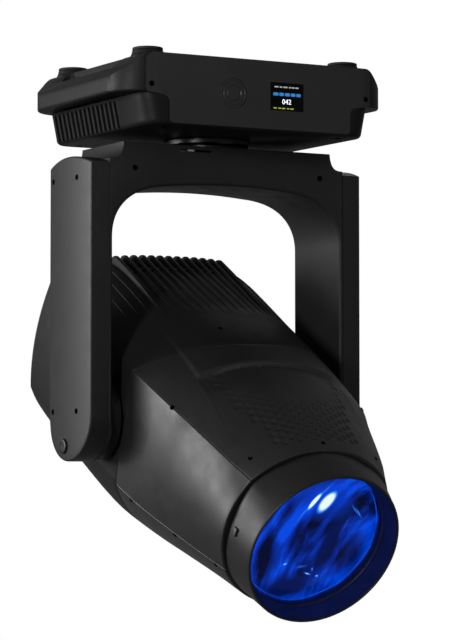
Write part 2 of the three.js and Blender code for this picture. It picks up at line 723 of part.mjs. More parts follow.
function rearCap() {
  const stations = 2;
  const start = REAR_JOINT - GAP;
  const lay = (thickness) => (i, k) =>
    [...capOutline(i, REAR_FACE + (start - REAR_FACE) * k / stations, thickness),
      REAR_FACE + (start - REAR_FACE) * k / stations];
  return shell(2 * HALF_STEPS, stations, true, lay(0), lay(4)).add(rearPlate());
}

function rearPlate() {
  const points = [];
  for (let i = 0; i < 2 * HALF_STEPS; i++) points.push(capOutline(i, REAR_FACE, 1));
  let plate = prismZ(polygon(points), REAR_FACE, REAR_FACE + 4);
  for (const side of [-1, 1]) {
    for (let row = -3; row <= 3; row++) {
      const half = Math.sqrt(FAN_RADIUS * FAN_RADIUS - (row * 14) ** 2);
      plate = plate.subtract(box(side * FAN_X - half, side * FAN_X + half, FAN_V + row * 14 - 4,
        FAN_V + row * 14 + 4, REAR_FACE - 2, REAR_FACE + 8));
    }
  }
  return plate;
}

function frontRing() {
  return turned([[107.5, RING_REAR], [114.5, RING_REAR], [RING_RADIUS, 359], [107.7, RING_FRONT],
    [104.6, RING_FRONT], [102.6, 335], [98.5, 334.4], [98.5, 331], [107.5, 331]], 40);
}

function frontLens() {
  const dome = [];
  for (let i = 0; i <= 4; i++) {
    const r = 98 * (1 - i / 4);
    dome.push([r, 330.7 + 14 * (1 - (r / 98) ** 2)]);
  }
  return turned([[0, 314], [100, 319], [LENS_RADIUS, 319], [LENS_RADIUS, 330.7], ...dome], 40);
}

function lensBarrel() {
  return turned([[101, 262], [107.2, 262], [107.2, 305], [106.8, 305], [106.8, 318.7],
    [100.3, 318.7], [100.3, 313], [101, 313]], 28);
}

function tiltHub(side) {
  let hub = rodX(HUB_RADIUS, 160.6, 176.9, 0, 0, 28);
  hub = hub.add(rodX(SHAFT_RADIUS, 146.5, 206, 0, 0, 20));
  hub = hub.subtract(rodX(15, 140, 210, 0, 0, 16));
  return side > 0 ? hub : hub.rotate([0, 180, 0]);
}

function tiltPulley() {
  const body = pulley(TILT_PULLEY_RADIUS, 9, SHAFT_RADIUS + 1);
  return body.rotate([0, 90, 0]).translate([-TILT_BELT_X, 0, 0]);
}

function chassis() {
  let frame = box(-146, 146, -66, 70, 15, 19).subtract(rodZ(72, 0, 40, 0, 0, 28));
  frame = frame.add(box(-116, 116, -60, 62, 218, 222).subtract(rodZ(80, 200, 240, 0, 0, 28)));
  frame = frame.add(box(-146, 146, -66, 70, -108, -104).subtract(rodZ(55, -120, -90, 0, 0, 24)));
  for (const side of [-1, 1]) {
    const sideView = polygon([[-66, -200], [70, -200], [70, 60], [50, 222], [-50, 222], [-66, 60]]);
    const plate = prismX(sideView, 0, 4);
    const placed = plate.translate([side > 0 ? 142 : -146, 0, 0]);
    const narrow = box(-150, 150, -100, 100, -210, 60);
    frame = frame.add(placed.intersect(narrow).subtract(rodX(14.5, -160, 160, 0, 0, 24)));
    frame = frame.add(box(side > 0 ? 112 : -116, side > 0 ? 116 : -112, -50, 50, 15, 222));
    frame = frame.add(rodZ(RAIL_RADIUS, 17, 220, side * RAIL_X, 0, 12));
  }
  return frame;
}

function lensCarriage(at, lensRadius) {
  let plate = prismZ(roundedRectangle(104, 34, 12), at - 4, at + 4, 4);
  plate = plate.add(rodZ(lensRadius + 6, at - 9, at + 9, 0, 0, 28));
  plate = plate.subtract(rodZ(lensRadius, at - 20, at + 20, 0, 0, 28));
  for (const side of [-1, 1]) {
    plate = plate.subtract(rodZ(RAIL_RADIUS + 0.5, at - 20, at + 20, side * RAIL_X, 0, 12));
  }
  return plate;
}

function carriageLens(at, radius) {
  const edge = radius - 1.2;
  const crown = [1, 0.6, 0].map((t) => [edge * t, at + 3 + 9 * (1 - t * t)]);
  return turned([[0, at - 6], [edge, at - 6], ...crown], 24);
}

function effectWheel(at, radius, openings, openingRadius) {
  let wheel = rodZ(radius, at - 1.5, at + 1.5, 0, 0, 28);
  wheel = wheel.add(rodZ(9, at - 4, at + 4, 0, 0, 12));
  for (let i = 0; i < openings; i++) {
    const angle = i * 2 * Math.PI / openings;
    const reach = radius - openingRadius - 5;
    wheel = wheel.subtract(rodZ(openingRadius, at - 5, at + 5,
      reach * Math.cos(angle), reach * Math.sin(angle), 10));
  }
  return wheel.subtract(rodZ(3.3, at - 9, at + 9, 0, 0, 10));
}

function lightEngine() {
  const base = box(-60, 60, -55, 60, -150, -128);
  return base.add(rodZ(46, -129, -112, 0, 0, 24));
}

function heatSink() {
  let block = box(-118, 118, -100, 96, -158, -150.3);
  for (let i = -8; i <= 8; i++) {
    block = block.add(box(i * 14 - 2, i * 14 + 2, -100, 96, -212, -157));
  }
  return block;
}

function fanFrame(side) {
  let frame = prismZ(roundedRectangle(60, 60, 8, side * FAN_X, FAN_V), -240, -216, 3);
  frame = frame.subtract(rodZ(56, -250, -210, side * FAN_X, FAN_V, 28));
  for (const [dx, dy] of [[1, 0], [-1, 0], [0, 1], [0, -1]]) {
    const strut = box(Math.min(0, dx * 58) - 2, Math.max(0, dx * 58) + 2,
      Math.min(0, dy * 58) - 2, Math.max(0, dy * 58) + 2, -218.5, -216);
    frame = frame.add(strut.translate([side * FAN_X, FAN_V, 0]));
  }
  return frame;
}

function fanRotor(side) {
  let rotor = rodZ(20, -238, -219.5, 0, 0, 24);
  for (let i = 0; i < 7; i++) {
    const blade = box(16, 53, -1.2, 1.2, -9, 9).rotate([38, 0, 0]).rotate([0, 0, i * 360 / 7])
      .translate([0, 0, -228.5]);
    rotor = rotor.add(blade.intersect(box(-60, 60, -60, 60, -237, -220)));
  }
  return rotor.translate([side * FAN_X, FAN_V, 0]);
}

// ---------- assembly ----------
const light = new THREE.Group();
const put = (group, name, body, material) => {
  const mesh = piece(name, body, material);
  group.add(mesh);
  return mesh;
};

function addBase() {
  put(light, 'base_casting', baseCasting(), blackCasting);
  put(light, 'mounting_plate', mountingPlate(), darkMetal);
  let number = 1;
  for (const x of [-FOOT_X, FOOT_X]) {
    for (const y of [-FOOT_Y, FOOT_Y]) {
      put(light, `foot_pad_${number}`, footPad(x, y), rubber);
      number += 1;
    }
  }
  put(light, 'front_panel', frontPanel(), blackShell);
  put(light, 'display_window', displayWindow(), screen);
  put(light, 'badge_disc', badgeDisc(), blackShell);
  put(light, 'base_housing', baseHousing(), blackShell);
  put(light, 'vent_panel_left', ventPanel(-1), blackShell);
  put(light, 'vent_panel_right', ventPanel(1), blackShell);
  put(light, 'connector_plate', connectorPlate(), blackShell);
  put(light, 'power_inlet', powerInlet(), blackShell);
  put(light, 'data_socket_1', dataSocket(SOCKETS[0]), steel);
  put(light, 'data_socket_2', dataSocket(SOCKETS[1]), steel);
  put(light, 'network_socket_1', networkSocket(SOCKETS[2]), steel);
  put(light, 'network_socket_2', networkSocket(SOCKETS[3]), steel);
  put(light, 'pan_bearing_ring', bearingRing(), steel);
  put(light, 'pan_spindle', panSpindle(), aluminium);
  put(light, 'power_supply', powerSupply(), aluminium);
  put(light, 'control_board', controlBoard(), board);
}

function addYoke() {
  put(light, 'yoke_frame', yokeFrame(), blackShell);
  put(light, 'arm_cover_left', armCover(-1), blackShell);
  put(light, 'arm_cover_right', armCover(1), blackShell);
  put(light, 'crossbar_rear_cover', crossbarRearCover(), blackShell);
  put(light, 'pan_lock_lever', panLockLever(), steel);
  put(light, 'tilt_lock_button', tiltLockButton(), darkMetal);
  put(light, 'pan_motor', panMotor(), darkMetal);
  const panPulley = pulley(SMALL_PAN_RADIUS, 10, 2.6).translate([PAN_MOTOR_X, 0, -122.5]);
  const panBelt = beltLoop(PAN_PULLEY_RADIUS, SMALL_PAN_RADIUS, PAN_MOTOR_X, 6).translate([0, 0, -120.5]);
  const tiltBelt = beltLoop(TILT_PULLEY_RADIUS, SMALL_TILT_RADIUS, TILT_MOTOR_RISE, 6)
    .rotate([0, 0, 180]).translate([0, 0, 1.5]);
  put(light, 'pan_motor_pulley', panPulley, aluminium);
  put(light, 'pan_belt', panBelt, rubber);
  put(light, 'tilt_motor', tiltMotor(), darkMetal);
  put(light, 'tilt_motor_pulley', inLeftArm(pulley(SMALL_TILT_RADIUS, 9, 3.2), TILT_MOTOR_RISE), aluminium);
  put(light, 'tilt_belt', inLeftArm(tiltBelt, 0), rubber);
}

addBase();
addYoke();

const head = new THREE.Group();
head.position.set(0, 0, TILT_Z);
head.rotation.x = THREE.MathUtils.degToRad(180 - TILT_REST);
light.add(head);

function addHead() {
  put(head, 'rear_housing', rearHousing(), blackCasting);
  put(head, 'rear_cap', rearCap(), blackShell);
  const crease = TOP_STEPS;
  const seam = TOP_STEPS + SIDE_STEPS;
  const count = 2 * HALF_STEPS;
  put(head, 'top_cover', strip(count - crease, count + crease, 7, 3, 0), blackShell);
  put(head, 'side_panel_right', strip(crease, seam, 7, 3, 0.03), blackShell);
  put(head, 'side_panel_left', strip(count - seam, count - crease, 7, 3, 0.03), blackShell);
  put(head, 'bottom_cover', strip(seam, count - seam, 7, 3, 0), blackShell);
  put(head, 'front_ring', frontRing(), blackShell);
  put(head, 'front_lens', frontLens(), glass);
  put(head, 'lens_barrel', lensBarrel(), darkMetal);
  put(head, 'tilt_hub_left', tiltHub(-1), darkMetal);
  put(head, 'tilt_hub_right', tiltHub(1), darkMetal);
  put(head, 'tilt_pulley', tiltPulley(), aluminium);
  put(head, 'head_chassis', chassis(), aluminium);
  put(head, 'zoom_carriage', lensCarriage(70, 58), darkMetal);
  put(head, 'zoom_lens', carriageLens(70, 58), glass);
  put(head, 'focus_carriage', lensCarriage(150, 66), darkMetal);
  put(head, 'focus_lens', carriageLens(150, 66), glass);
  put(head, 'light_engine', lightEngine(), brass);
  put(head, 'heat_sink', heatSink(), aluminium);
  put(head, 'fan_frame_left', fanFrame(-1), blackShell);
  put(head, 'fan_frame_right', fanFrame(1), blackShell);
  put(head, 'fan_rotor_left', fanRotor(-1), blackShell);
  put(head, 'fan_rotor_right', fanRotor(1), blackShell);
  put(head, 'colour_wheel', effectWheel(-62, 73, 7, 16).translate([52, 0, 0]), dichroic);
  put(head, 'gobo_wheel', effectWheel(-40, 71, 7, 14).translate([52, 0, 0]), darkMetal);
}

addHead();

export default light;
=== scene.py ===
import json
import math

import bmesh
import bpy
import numpy as np
from mathutils import Matrix, Vector


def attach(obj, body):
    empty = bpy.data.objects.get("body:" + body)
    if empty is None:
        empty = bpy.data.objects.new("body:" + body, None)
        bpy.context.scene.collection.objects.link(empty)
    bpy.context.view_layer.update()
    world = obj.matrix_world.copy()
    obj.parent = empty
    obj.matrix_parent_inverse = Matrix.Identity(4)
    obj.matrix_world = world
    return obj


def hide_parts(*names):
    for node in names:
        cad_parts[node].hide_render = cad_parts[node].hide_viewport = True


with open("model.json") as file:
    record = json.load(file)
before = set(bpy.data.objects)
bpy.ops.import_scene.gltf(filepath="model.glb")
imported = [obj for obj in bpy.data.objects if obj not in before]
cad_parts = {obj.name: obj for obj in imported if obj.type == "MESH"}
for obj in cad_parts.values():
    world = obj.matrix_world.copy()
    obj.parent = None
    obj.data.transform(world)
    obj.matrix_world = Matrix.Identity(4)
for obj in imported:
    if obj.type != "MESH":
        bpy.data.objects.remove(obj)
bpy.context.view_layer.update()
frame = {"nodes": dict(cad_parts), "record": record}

MM = 0.001
SIDES = ((1, "right"), (-1, "left"))
scene = bpy.context.scene

# ---------- dimensions in millimetres, the same as the CAD's ----------
TILT_Z = -475
TILT_REST = math.radians(61)
HEAD = Matrix.Translation((0, 0, TILT_Z)) @ Matrix.Rotation(math.pi - TILT_REST, 4, "X")
FIN_PITCH = 13.84
FIN_HALF = 3.1
FIN_SPAN = 6 * FIN_PITCH              # centre to outermost fin
FIN_TIP = 2.2                         # rounding of a fin's top
SIDE_GROOVE_PITCH = 12.5
CAP_TOP = 109
REAR_JOINT = -236
REAR_FACE = -257
COWL_FRONT = 305
CREASE_MAX = 157
SEAM_GAP = 0.9
SHELL = 3.0                           # wall of the head's covers
RING_BORE = 107.3
HUB_BORE = 24.6

BASE_HALF_WIDTH = 209
BASE_HALF_DEPTH = 151.5
BASE_CORNER = 52
CASTING_TOP, CASTING_BOTTOM = 5, -48
HOUSING_HALF_WIDTH = 177.5
HOUSING_CORNER = 28
FEET = [(-152, -113), (-152, 113), (152, -113), (152, 113)]
BADGE = (-42.5, -43)
DISPLAY = (40, -43)
DISPLAY_FACE = -151.8
VENT_START, VENT_LENGTH, VENT_SLOTS = -70, 196, 15

YOKE_TOP = -105
YOKE_HALF_DEPTH = 63.5
OPENING_HALF_WIDTH = 177.6
ARM_SEAM = 183
ARM_TOP = -134
ARM_CORNER = 211
ARM_CROWN = 3.6                       # how far the covers dome out
ARM_END_HEIGHT = 60.5
LOCK_BUTTON = (9.4, TILT_Z - 40)

# Head section along its axis: [distance ahead of the tilt axis, value].
TOP = [[-257, 118], [-250, 126], [-236, 136.5], [-170, 149], [-30, 152], [75, 150],
       [125, 146], [190, 139], [279, 121.5], [305, 115.5]]
CREASE_U = [[-257, 150], [-236, 160], [-110, 157.5], [-60, 156.2], [34, 156.6], [149, 146],
            [190, 134.5], [270, 113.5], [305, 101]]
CREASE_V = [[-257, 78], [-236, 85], [34, 92], [149, 92], [190, 87.5], [270, 78], [305, 72]]
BULGE = [[-257, 7], [-236, 7], [-80, 4], [34, 3], [150, 7], [190, 10], [270, 15], [305, 19]]
SEAM_U = [[-257, 145], [-236, 154], [19, 155], [113, 145], [167, 135], [251, 117], [305, 104]]
SEAM_V = [[-257, -74], [-236, -78], [19, -69], [113, -69], [213, -65], [305, -60]]
BOTTOM = [[-257, -158], [-236, -169], [-101, -172], [0, -171], [61, -161], [111, -151],
          [165, -139.5], [251, -123], [305, -116]]
TOP_POWER = [[-257, 3.3], [-170, 3.1], [-30, 2.7], [75, 2.5], [305, 2.4]]


# ---------- materials ----------
def connect(tree, node, inputs):
    """Gives each named input its value, or links it where the value is another node's output."""
    for name, value in inputs.items():
        if isinstance(value, bpy.types.NodeSocket):
            tree.links.new(value, node.inputs[name])
        else:
            node.inputs[name].default_value = value


def add_node(tree, kind, output, inputs, **settings):
    node = tree.nodes.new("ShaderNode" + kind)
    for name, value in settings.items():
        setattr(node, name, value)
    connect(tree, node, inputs)
    return node.outputs[output]


def new_material(name):
    material = bpy.data.materials.new(name)
    material.use_nodes = True
    tree = material.node_tree
    return material, tree, tree.nodes["Principled BSDF"]


def placed(tree, vector, kind="POINT", location=(0, 0, 0), rotation=(0, 0, 0), scale=(1, 1, 1)):
    return add_node(tree, "Mapping", "Vector", {"Vector": vector, "Location": location,
                                                "Rotation": rotation, "Scale": scale}, vector_type=kind)


def coordinates(tree, **mapping):
    return placed(tree, add_node(tree, "TexCoord", "Object", {}), **mapping)


def noise(tree, vector, scale, detail=3, roughness=0.55):
    return add_node(tree, "TexNoise", "Fac", {"Vector": vector, "Scale": scale, "Detail": detail,
                                              "Roughness": roughness})


def math_node(tree, operation, first, second, clamp=False):
    return add_node(tree, "Math", 0, {0: first, 1: second}, operation=operation, use_clamp=clamp)


def mixed(tree, factor, first, second, kind="RGBA"):
    return add_node(tree, "Mix", "Result", {"Factor": factor, "A": first, "B": second}, data_type=kind)


def ramp(tree, value, stops):
    node = tree.nodes.new("ShaderNodeValToRGB")
    while len(node.color_ramp.elements) < len(stops):
        node.color_ramp.elements.new(0.5)
    for element, (at, color) in zip(node.color_ramp.elements, stops):
        element.position = at
        element.color = (*color, 1)
    connect(tree, node, {"Fac": value})
    return node.outputs["Color"]


def tones(tree, value, dark, light, edge=0.3):
    return ramp(tree, value, [(edge, dark), (1 - edge, light)])


def spread(tree, value, low, high):
    return add_node(tree, "MapRange", "Result", {"Value": value, "From Min": 0.3, "From Max": 0.7,
                                                 "To Min": low, "To Max": high})


def surface(name, dark, light, rough, metal=0.0, grain=900, grain_strength=0.12, patch=14,
            scale=(1, 1, 1), specular=0.5):
    """Two close tones in soft patches, uneven gloss and a fine grain."""
    material, tree, shader = new_material(name)
    vector = coordinates(tree, scale=scale)
    patches = noise(tree, vector, patch, 4)
    smudge = noise(tree, vector, patch * 3.1, 5, 0.65)
    normal = add_node(tree, "Bump", "Normal", {"Height": noise(tree, vector, grain, 2),
                                               "Strength": grain_strength, "Distance": 0.0003})
    connect(tree, shader, {"Base Color": tones(tree, patches, dark, light), "Metallic": metal, "Normal": normal,
                           "Roughness": spread(tree, smudge, *rough), "Specular IOR Level": specular})
    return material


def glass(name, tint, rough=0.0, ior=1.46):
    material, tree, shader = new_material(name)
    haze = noise(tree, coordinates(tree), 30, 3)
    pale = [min(1, c * 1.04) for c in tint]
    connect(tree, shader, {"Base Color": tones(tree, haze, tint, pale), "Transmission Weight": 1, "IOR": ior,
                           "Roughness": spread(tree, haze, rough, rough + 0.01)})
    return material


# Painted light: emission that stands for light falling on a part that is no lamp.
def glow(name, dark, light, scale, strength):
    material, tree, shader = new_material(name)
    streaks = noise(tree, coordinates(tree), scale, 4, 0.6)
    connect(tree, shader, {"Emission Color": tones(tree, streaks, dark, light, 0.35),
                           "Emission Strength": strength, "Base Color": (0.001, 0.003, 0.02, 1),
                           "Roughness": 0.6, "Specular IOR Level": 0.05})
    return material


def emission(name, color, strength):
    material, tree, shader = new_material(name)
    flicker = noise(tree, coordinates(tree), 1500, 1)
    connect(tree, shader, {"Emission Color": tones(tree, flicker, [c * 0.85 for c in color], color, 0.2),
                           "Emission Strength": strength, "Base Color": (0.01, 0.01, 0.01, 1)})
    return material


shell_black = surface("shell_black", (0.0095, 0.0095, 0.0098), (0.0125, 0.0125, 0.0128), (0.36, 0.46),
                      specular=0.42)
casting_black = surface("casting_black", (0.0070, 0.0070, 0.0073), (0.0105, 0.0105, 0.011), (0.44, 0.54),
                        grain=1400, grain_strength=0.2, specular=0.15)
housing_black = surface("housing_black", (0.0065, 0.0065, 0.0067), (0.0095, 0.0095, 0.0098), (0.44, 0.54),
                        specular=0.09)
frame_black = surface("frame_black", (0.0165, 0.0165, 0.0168), (0.0205, 0.0205, 0.0209), (0.42, 0.52),
                      specular=0.12)
cover_black = surface("cover_black", (0.0095, 0.0095, 0.0098), (0.0125, 0.0125, 0.0128), (0.38, 0.46),
                      specular=0.27)
# Steel of the pan bearing, darker than the other steel: the colour also paints the shade of the gap between base
# and yoke.
gap_shaded_steel = surface("gap_shaded_steel", (0.05, 0.05, 0.052), (0.09, 0.09, 0.093), (0.24, 0.34), metal=1.0,
                        grain=600, grain_strength=0.05)
inner_black = surface("inner_black", (0.004, 0.004, 0.0042), (0.007, 0.007, 0.0072), (0.55, 0.7),
                      specular=0.25)
screw_black = surface("screw_black", (0.0004, 0.0004, 0.0004), (0.0009, 0.0009, 0.0009), (0.6, 0.75),
                      grain=2500, specular=0.01)
anodised = surface("anodised", (0.012, 0.012, 0.013), (0.02, 0.02, 0.022), (0.32, 0.42), metal=0.55,
                   grain=2200, grain_strength=0.06)
screen_black = surface("screen_black", (0.001, 0.001, 0.0014), (0.002, 0.002, 0.0026), (0.06, 0.1),
                       grain=300, grain_strength=0.01, specular=0.12)
rubber = surface("rubber", (0.008, 0.008, 0.008), (0.014, 0.014, 0.014), (0.62, 0.78), grain=1600,
                 grain_strength=0.3, specular=0.3)
clear_glass = glass("clear_glass", (0.86, 0.93, 1.0), ior=1.2)
# Painted glow: the bright blue edge of the optics.
painted_blue_edge = glow("painted_blue_edge", (0.001, 0.03, 0.35), (0.003, 0.12, 0.9), 25, 0.8)
# Painted light: blue light from the lens on the black inner walls, as a dim emission.
painted_blue_light_lining = glow("painted_blue_light_lining", (0.0018, 0.0036, 0.028), (0.0026, 0.005, 0.040), 30, 1.0)

NODE_MATERIALS = {
    "black_shell": shell_black, "black_casting": casting_black, "dark_metal": anodised, "rubber": rubber,
    "screen": screen_black, "inlet_plastic": inner_black, "front_glass": clear_glass,
    "steel": surface("steel", (0.42, 0.43, 0.44), (0.6, 0.61, 0.62), (0.22, 0.34), metal=1.0, grain=600,
                     grain_strength=0.05, scale=(1, 1, 9)),
    "aluminium": surface("aluminium", (0.4, 0.41, 0.42), (0.56, 0.57, 0.58), (0.3, 0.42), metal=1.0,
                         grain_strength=0.06),
    "copper": surface("copper", (0.6, 0.28, 0.16), (0.75, 0.38, 0.24), (0.3, 0.45), metal=1.0),
    "circuit_board": surface("board_green", (0.008, 0.06, 0.025), (0.015, 0.1, 0.045), (0.3, 0.45),
                             grain=500, patch=60),
    "fan_plastic": surface("fan_black", (0.011, 0.011, 0.012), (0.017, 0.017, 0.018), (0.4, 0.5), grain=1200),
    "inner_glass": glass("inner_glass", (0.8, 0.9, 1.0)),
    "dichroic_glass": glass("dichroic", (0.12, 0.25, 0.95), 0.05),
}
for part in frame["record"]["subparts"]:
    for held in frame["nodes"][part["node"]].material_slots:
        held.material = NODE_MATERIALS[part["material_slot"]]


# ---------- mesh helpers, all in millimetres ----------
def linked(name, mesh):
    obj = bpy.data.objects.new(name, mesh)
    scene.collection.objects.link(obj)
    return obj


def face_outward(obj):
    edit = bmesh.new()
    edit.from_mesh(obj.data)
    bmesh.ops.recalc_face_normals(edit, faces=edit.faces)
    edit.to_mesh(obj.data)
    edit.free()
    return obj


def build(vertices, faces):
    mesh = bpy.data.meshes.new("piece")
    mesh.from_pydata([tuple(v) for v in vertices], [], [tuple(f) for f in faces])
    mesh.validate()
    return face_outward(linked("piece", mesh))


def settled(obj):
    """The object's mesh with its modifiers applied."""
    return bpy.data.meshes.new_from_object(obj.evaluated_get(bpy.context.evaluated_depsgraph_get()))


def modify(obj, kind, **settings):
    """Adds one modifier and applies it to the mesh."""
    modifier = obj.modifiers.new("step", kind)
    for name, value in settings.items():
        setattr(modifier, name, value)
    old, mesh = obj.data, settled(obj)
    obj.modifiers.clear()
    obj.data = mesh
    bpy.data.meshes.remove(old)


def combine(target, tools, operation="DIFFERENCE"):
    """Boolean of the target with tools that don't touch each other."""
    tool = join(tools)
    modify(target, "BOOLEAN", operation=operation, solver="MANIFOLD", object=tool)
    bpy.data.objects.remove(tool)


def join(objects):
    if len(objects) == 1:
        return objects[0]
    edit = bmesh.new()
    for obj in objects:
        edit.from_mesh(obj.data)
        bpy.data.objects.remove(obj)
    mesh = bpy.data.meshes.new("joined")
    edit.to_mesh(mesh)
    edit.free()
    return linked("joined", mesh)


def soften(obj, width, angle):
    modify(obj, "BEVEL", width=width, segments=2, limit_method="ANGLE", angle_limit=math.radians(angle))


def show(obj, name, material, body, slot, node=None, angle=32, turn=Matrix.Identity(4)):
    """Turns millimetres in the piece's own frame into metres, shades it and hangs it on its body."""
    mesh = obj.data
    mesh.transform(Matrix.Scale(MM, 4) @ turn)
    obj.name = mesh.name = name
    mesh.materials.clear()
    mesh.materials.append(material)
    for field, value in (("use_smooth", True), ("material_index", 0)):
        mesh.polygons.foreach_set(field, [value] * len(mesh.polygons))
    mesh.set_sharp_from_angle(angle=math.radians(angle))
    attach(obj, body)
    if node:
        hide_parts(node)


def refine(obj, node, material, body, slot, **finish):
    """A finer piece that stands in for one CAD node."""
    show(obj, f"{node}_fine", material, body, slot, node, **finish)


AXES = {
    "X": Matrix(((0, 0, 1, 0), (1, 0, 0, 0), (0, 1, 0, 0), (0, 0, 0, 1))),
    "Y": Matrix(((1, 0, 0, 0), (0, 0, 1, 0), (0, 1, 0, 0), (0, 0, 0, 1))),
    "Z": Matrix.Identity(4),
}


def toward(obj, axis):
    """A solid raised along Z from a drawing in (x, y) is raised along Y from (x, z), or X from (y, z)."""
    obj.data.transform(AXES[axis])
    return face_outward(obj)


def loft(rings, around=False):
    """Rings of equal length; the first and last are capped, or joined where they go around."""
    count, total = len(rings[0]), len(rings)
    faces = []
    for k in range(total if around else total - 1):
        here, after = k * count, (k + 1) % total * count
        for i in range(count):
            j = (i + 1) % count
            faces.append((here + i, here + j, after + j, after + i))
    if not around:
        faces += [tuple(range(count))[::-1], tuple(range((total - 1) * count, total * count))]
    return build([p for ring in rings for p in ring], faces)


def box(x0, x1, y0, y1, z0, z1):
    return loft([[(x0, y0, z), (x1, y0, z), (x1, y1, z), (x0, y1, z)] for z in (z0, z1)])


def inset(points, distance):
    """Closed outline moved inward, wherever it runs anticlockwise."""
    moved = []
    count = len(points)
    for i in range(count):
        (x0, y0), (x1, y1), (x2, y2) = points[i - 1], points[i], points[(i + 1) % count]
        a = Vector((x1 - x0, y1 - y0)).normalized()
        b = Vector((x2 - x1, y2 - y1)).normalized()
        normal = Vector((-a.y - b.y, a.x + b.x)).normalized()
        reach = distance / max(0.4, normal.dot(Vector((-a.y, a.x))))
        moved.append((x1 + normal.x * reach, y1 + normal.y * reach))
    return moved


def rounding(radius, steps):
    """[inset, height] pairs of a quarter round, from the end face to the full outline."""
    angles = [i / steps * math.pi / 2 for i in range(steps + 1)] if radius else [0]
    return [(radius * (1 - math.sin(a)), radius * (1 - math.cos(a))) for a in angles]


def stacked(layers, axis="Z"):
    """Solid through (outline, height) layers."""
    return toward(loft([[(x, y, z) for x, y in outline] for outline, z in layers]), axis)


def slab(points, z0, z1, low=0.0, high=0.0, steps=4, axis="Z"):
    """An outline raised from z0 to z1 with rounded rims."""
    rims = [(d, z0 + h) for d, h in rounding(low, steps)]
    rims += [(d, z1 - h) for d, h in reversed(rounding(high, steps))]
    return stacked([(inset(points, d), z) for d, z in rims], axis)


def turned(profile, segments=96, axis="Z", centre=(0, 0)):
    """A closed profile of (radius, height) points, turned about the axis."""
    rings = []
    for k in range(segments):
        angle = 2 * math.pi * k / segments
        rings.append([(centre[0] + r * math.cos(angle), centre[1] + r * math.sin(angle), z)
                      for r, z in profile])
    return toward(loft(rings, around=True), axis)


def rod(radius, low, high, axis="Z", centre=(0, 0), segments=40):
    points = [(centre[0] + radius * math.cos(2 * math.pi * i / segments),
               centre[1] + radius * math.sin(2 * math.pi * i / segments)) for i in range(segments)]
    return slab(points, low, high, axis=axis)


def rounded_rectangle(half_width, half_height, radius, x=0.0, y=0.0, steps=8):
    points = []
    for quadrant, (sx, sy) in enumerate([(1, 1), (-1, 1), (-1, -1), (1, -1)]):
        for i in range(steps + 1):
            angle = (quadrant + i / steps) * math.pi / 2
            points.append((x + sx * (half_width - radius) + radius * math.cos(angle),
                           y + sy * (half_height - radius) + radius * math.sin(angle)))
    return points


def path(start, *runs):
    """Outline from a start point: each run is a point, or one or two control points, an end and a step count."""
    points = [start]
    for run in runs:
        if len(run) == 2:
            points.append(run)
            continue
        *pull, end, steps = run
        begin = points[-1]
        if len(pull) == 1:
            pull = [tuple(p[k] + 2 / 3 * (pull[0][k] - p[k]) for k in (0, 1)) for p in (begin, end)]
        for i in range(1, steps + 1):
            t = i / steps
            weights = ((1 - t) ** 3, 3 * t * (1 - t) ** 2, 3 * t * t * (1 - t), t ** 3)
            points.append(tuple(sum(w * p[k] for w, p in zip(weights, (begin, *pull, end))) for k in (0, 1)))
    return points


def mirrored(points):
    """A right half outline, top to bottom, joined to its mirror image: anticlockwise."""
    return [(-x, z) for x, z in points] + [(x, z) for x, z in reversed(points)]


def screws(body, places, radius):
    """Small domed screws with a shallow socket; each place is (point, outward direction)."""
    profile = [(0.01, -2.5), (radius, -2.5), (radius, 0.4), (radius * 0.9, 0.65), (radius * 0.6, 0.7),
               (radius * 0.6, 0.35), (0.01, 0.35)]
    heads = []
    for point, direction in places:
        head = turned(profile, 18)
        turn = Vector((0, 0, 1)).rotation_difference(Vector(direction).normalized()).to_matrix().to_4x4()
        head.data.transform(Matrix.Translation(point) @ turn)
        heads.append(head)
    show(join(heads), f"{body}_screws", screw_black, body, "dark_metal")


def along(table, s):
    """Smooth curve through a table's points, at each s of an array."""
    x, y = np.array(table, float).T
    slope = np.empty_like(y)
    slope[1:-1] = (y[2:] - y[:-2]) / (x[2:] - x[:-2])
    slope[0] = (y[1] - y[0]) / (x[1] - x[0])
    slope[-1] = (y[-1] - y[-2]) / (x[-1] - x[-2])
    s = np.clip(s, x[0], x[-1])
    i = np.clip(np.searchsorted(x, s, side="right") - 1, 0, len(x) - 2)
    h = x[i + 1] - x[i]
    t = (s - x[i]) / h
    return (y[i] * (2 * t ** 3 - 3 * t ** 2 + 1) + h * slope[i] * (t ** 3 - 2 * t ** 2 + t)
            + y[i + 1] * (3 * t ** 2 - 2 * t ** 3) + h * slope[i + 1] * (t ** 3 - t ** 2))


def smooth(x, low, high):
    t = np.clip((np.asarray(x, float) - low) / (high - low), 0, 1)
    return t * t * (3 - 2 * t)


def bottom_radius(s):
    """The underside is an arc between the lower seams."""
    drop = along(SEAM_V, s) - along(BOTTOM, s)
    return (along(SEAM_U, s) ** 2 + drop ** 2) / (2 * drop)


def section(q, s):
    """Section point (u, v): |q| is 0 at top centre, 1 at the crease, 2 at the lower seam, 3 at the bottom."""
    a = np.abs(q)
    crease_u, crease_v = along(CREASE_U, s), along(CREASE_V, s)
    seam_u, seam_v = along(SEAM_U, s), along(SEAM_V, s)
    top, bottom = along(TOP, s), along(BOTTOM, s)
    t = np.clip(a, 0, 1)
    u1 = crease_u * t
    v1 = top - (top - crease_v) * t ** along(TOP_POWER, s)
    t = np.clip(a - 1, 0, 1)
    u2 = crease_u + (seam_u - crease_u) * t + 4 * t * (1 - t) * along(BULGE, s)
    v2 = crease_v + (seam_v - crease_v) * t
    radius = bottom_radius(s)
    angle = np.arcsin(np.clip(seam_u / radius, -1, 1)) * (1 - np.clip(a - 2, 0, 1))
    u3 = radius * np.sin(angle)
    v3 = bottom + radius * (1 - np.cos(angle))
    u = np.where(a <= 1, u1, np.where(a <= 2, u2, u3))
    v = np.where(a <= 1, v1, np.where(a <= 2, v2, v3))
    return np.where(q < 0, -u, u), v


